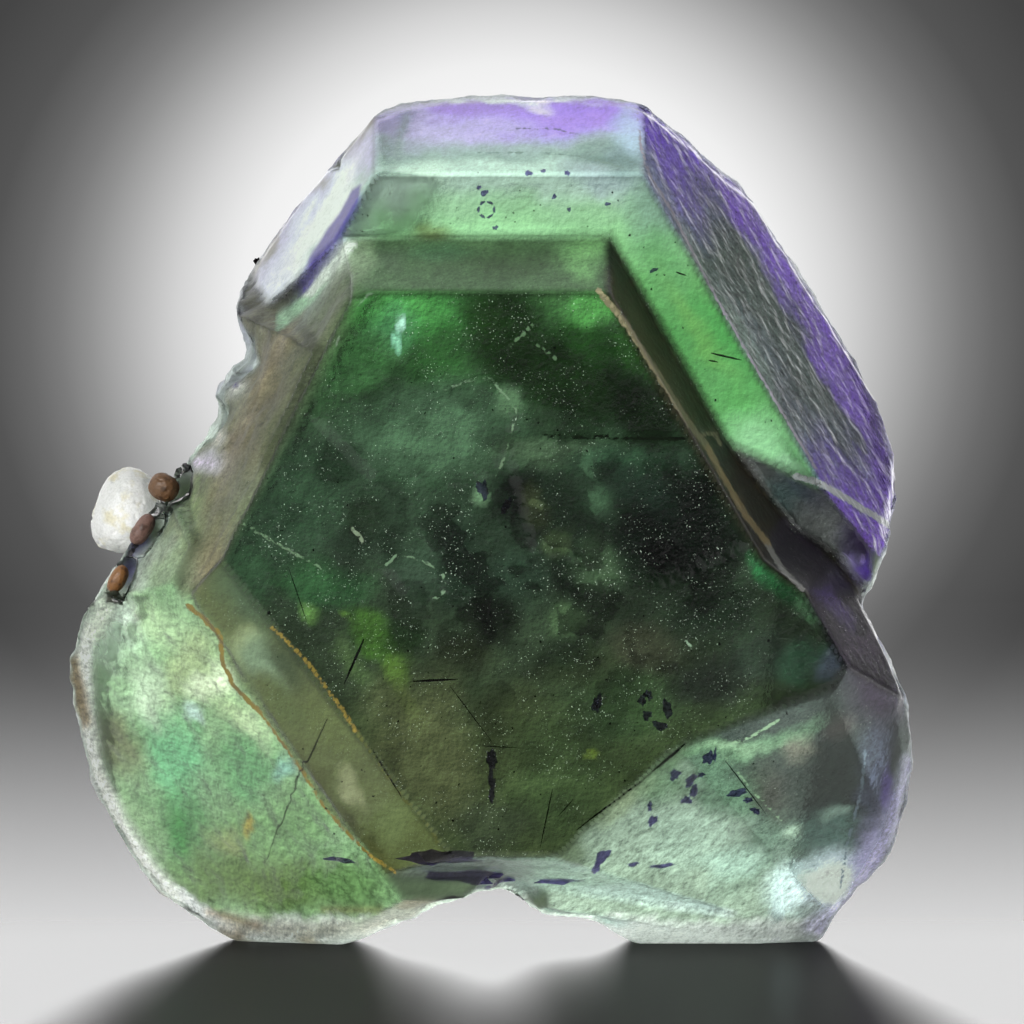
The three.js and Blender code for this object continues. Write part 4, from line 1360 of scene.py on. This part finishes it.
SPECKS = {"count": 420, "smallest": 0.03, "largest": 0.085, "least_deep": 0.3, "deepest": 1.5}
SPECKS_FROM, SPECKS_TO = (-14, 6), (17, 42)  # opposite corners of the part of the front they lie behind
NEEDLE_SHAPE = [(0.02, 0.5), (0.3, 1.0), (0.7, 0.9), (0.97, 0.35)]  # share of its length, and of its radius
FLAKE_LAYERS = [(0.6, -0.45), (1.0, 0.0), (0.6, 0.45)]  # share of its width, and of its thickness
RAGGED = (0.05, 0.22)  # least and most that each wave changes a flake's outline


def front_of(piece):
    """A function that gives the depth of the piece's front at a place (x, z)."""
    mesh = piece.data
    corners = [(v.co + piece.location) / MM for v in mesh.vertices]
    tree = BVHTree.FromPolygons(corners, [tuple(p.vertices) for p in mesh.polygons])

    def depth(x, z):
        hit = tree.ray_cast(Vector((x, FRONT_Y - 1, z)), Vector((0, 1, 0)))[0]
        return hit.y if hit else None

    return depth


def add_solid(bm, rings, first, last):
    """A closed skin over a row of rings of places, from one tip to the other."""
    loops = [[bm.verts.new(place) for place in ring] for ring in rings]
    tips = [bm.verts.new(first), bm.verts.new(last)]
    count = len(rings[0])
    for i in range(count):
        j = (i + 1) % count
        bm.faces.new((tips[0], loops[0][j], loops[0][i]))
        bm.faces.new((tips[1], loops[-1][i], loops[-1][j]))
        for a, b in zip(loops, loops[1:]):
            bm.faces.new((a[i], a[j], b[j], b[i]))


def add_needle(bm, start, end, radius, sides=6):
    axis = (end - start).normalized()
    side = axis.orthogonal().normalized()
    other = axis.cross(side)
    rings = []
    turns = [math.tau * i / sides for i in range(sides)]
    for along, size in NEEDLE_SHAPE:
        middle = start.lerp(end, along)
        rings.append([middle + (side * math.cos(t) + other * math.sin(t)) * radius * size for t in turns])
    add_solid(bm, rings, start, end)


def add_flake(bm, middle, wide, high, turn, rng, sides=18, thickness=0.1):
    """A thin, ragged flake that lies along the front face."""
    a = math.radians(turn)
    waves = [(k, rng.uniform(*RAGGED), rng.uniform(0, math.tau)) for k in (2, 3, 5, 7)]
    outline = []
    for i in range(sides):
        t = math.tau * i / sides
        r = 1 + sum(size * math.sin(k * t + start) for k, size, start in waves)
        u, v = wide * r * math.cos(t), high * r * math.sin(t)
        outline.append((u * math.cos(a) - v * math.sin(a), u * math.sin(a) + v * math.cos(a)))
    rings = []
    for size, lift in FLAKE_LAYERS:
        rings.append([middle + Vector((u * size, lift * thickness, v * size)) for u, v in outline])
    half = Vector((0, thickness / 2, 0))
    add_solid(bm, rings, middle - half, middle + half)


def finish_inclusions(name, bm, material):
    bmesh.ops.recalc_face_normals(bm, faces=bm.faces)
    bmesh.ops.scale(bm, vec=(MM, MM, MM), verts=bm.verts)
    mesh = bpy.data.meshes.new(name)
    bm.to_mesh(mesh)
    bm.free()
    mesh.materials.append(material)
    shade_smooth(mesh)
    piece = link(bpy.data.objects.new(name, mesh))
    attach(piece, "root")
    return piece


def make_inclusions(piece):
    """Needles, purple and black flakes, and dark specks, all just under the front."""
    front = front_of(piece)
    rng = np.random.default_rng(7)
    needles = bmesh.new()
    for start, end, radius, depth in NEEDLES:
        ends = [Vector((x, front(x, z) + depth, z)) for x, z in (start, end)]
        add_needle(needles, *ends, radius)
    finish_inclusions("needles", needles, needle_material())

    x, z = RING["middle"]
    ring = []
    for i in range(RING["flakes"]):
        t = math.tau * i / RING["flakes"]
        place = (x + RING["radius"] * math.cos(t), z + RING["radius"] * math.sin(t))
        ring.append((*place, *RING["size"], math.degrees(t) + 90, RING["depth"]))
    kinds = [
        ("purple_flakes", PURPLE_FLAKES + ring, (158, 138, 214), 0.95),
        ("black_flakes", BLACK_FLAKES, (24, 20, 22), 0.0),
    ]
    for name, flakes, colour, clear in kinds:
        bm = bmesh.new()
        for x, z, wide, high, turn, depth in flakes:
            add_flake(bm, Vector((x, front(x, z) + depth, z)), wide, high, turn, rng)
        finish_inclusions(name, bm, flake_material(name, colour, clear))

    specks = bmesh.new()
    for _ in range(SPECKS["count"]):
        x, z = (rng.uniform(low, high) for low, high in zip(SPECKS_FROM, SPECKS_TO))
        depth = front(x, z)
        if depth is None:
            continue
        size = rng.uniform(SPECKS["smallest"], SPECKS["largest"]) * rng.uniform(0.5, 1)
        middle = Vector((x, depth + rng.uniform(SPECKS["least_deep"], SPECKS["deepest"]), z))
        high, turn = size * rng.uniform(0.5, 1), rng.uniform(0, 180)
        add_flake(specks, middle, size, high, turn, rng, sides=7, thickness=size)
    finish_inclusions("dark_specks", specks, flake_material("dark_specks", (30, 30, 34), 0.0))


def needle_material():
    m = Material("needle")
    colour = m.mix(m.noise(0.3, 3), opaque((22, 24, 20)), opaque((52, 50, 38)))
    m.fill(m.shader, {"Base Color": colour, "Roughness": 0.35})
    return m.material


def flake_material(name, colour, clear):
    """Coloured mineral flakes. The clear ones let the light through."""
    m = Material(name)
    darker = tuple(0.55 * level for level in colour)
    tint = m.mix(m.noise(0.3, 3), opaque(darker), opaque(colour))
    m.fill(m.shader, {"Base Color": tint, "Roughness": 0.3, "IOR": 1.0, "Transmission Weight": clear})
    return m.material


# ---- The grains on the left edge ----
# Node, material slot, two colours, voxel, depth of its lumps, size of its lumps, translucency.
GRAINS = [
    ("nodule_left", "milky_grain", (252, 253, 250), (228, 222, 190), 0.08, 0.22, 1.1, 0.5),
    ("grain_brown", "brown_grain", (118, 86, 56), (74, 52, 32), 0.045, 0.09, 0.5, 0.3),
    ("grain_rose", "rose_grain", (132, 100, 88), (90, 64, 52), 0.045, 0.09, 0.5, 0.3),
]
# The smallest grain keeps its CAD mesh: slot, two colours, size of its blotches, translucency.
ORANGE_GRAIN = ("orange_grain", (142, 98, 52), (96, 62, 32), 0.4, 0.2)


def make_grain(node, slot, colour, stain, voxel, lumps, lump_size, translucency):
    """A small rounded grain with a lumpy, pitted skin."""
    piece = new_piece(node + "_skin", node)
    mesh = remesh(piece, voxel)
    points = smooth_vertices(mesh, coordinates(mesh), 6)
    set_coordinates(mesh, points)
    lump = 0.5 * (fractal(points / MM, lump_size, 201, 4) + 1)
    pits = smooth(0.2, 0.6, fractal(points / MM, 0.4 * lump_size, 211, 2))
    set_coordinates(mesh, points - normals(mesh) * (lumps * (lump + 0.4 * pits))[:, None] * MM)
    mesh.materials.append(grain_material(slot, colour, stain, lump_size, translucency))
    shade_smooth(mesh)
    return piece


def finish_orange_grain():
    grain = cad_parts["grain_orange"]
    grain.data.materials.clear()
    grain.data.materials.append(grain_material(*ORANGE_GRAIN))
    return grain


def grain_material(name, colour, stain, lump_size, translucency):
    m = Material(name)
    blotch = m.step(m.noise(lump_size, 4), 0.5, 0.68)
    fine = m.mapped(m.noise(0.12, 3), 0.3, 0.7, 0.8, 1.1)
    tint = m.scaled(m.mix(blotch, opaque(colour), opaque(stain)), fine)
    m.fill(m.shader, {
        "Base Color": m.at_most_white(tint),
        "Roughness": 0.45,
        "Transmission Weight": translucency,
    })
    m.bump(m.noise(0.25, 4), 0.04)
    return m.material


bpy.context.scene.view_settings.view_transform = "Standard"
bpy.context.scene.cycles.use_light_tree = False  # saves a third of the time with so few lights
bpy.context.scene.cycles.sample_clamp_direct = 10  # against stray bright dots from the low light
make_camera()
make_world()
make_floor_sun(make_floor())
back_light = soft_light("back_light", place=(0, 160, 30), size=160, radiance=1.2)
soft_light("key_light", place=(-150, -300, 250), size=150, radiance=3)
crystal = make_crystal()
make_inclusions(crystal)
grains = [make_grain(*grain) for grain in GRAINS] + [finish_orange_grain()]
light_only(back_light, [crystal, *grains])
grain_light = soft_light("grain_light", place=(-200, -250, 120), size=120, radiance=24)
light_only(grain_light, grains)
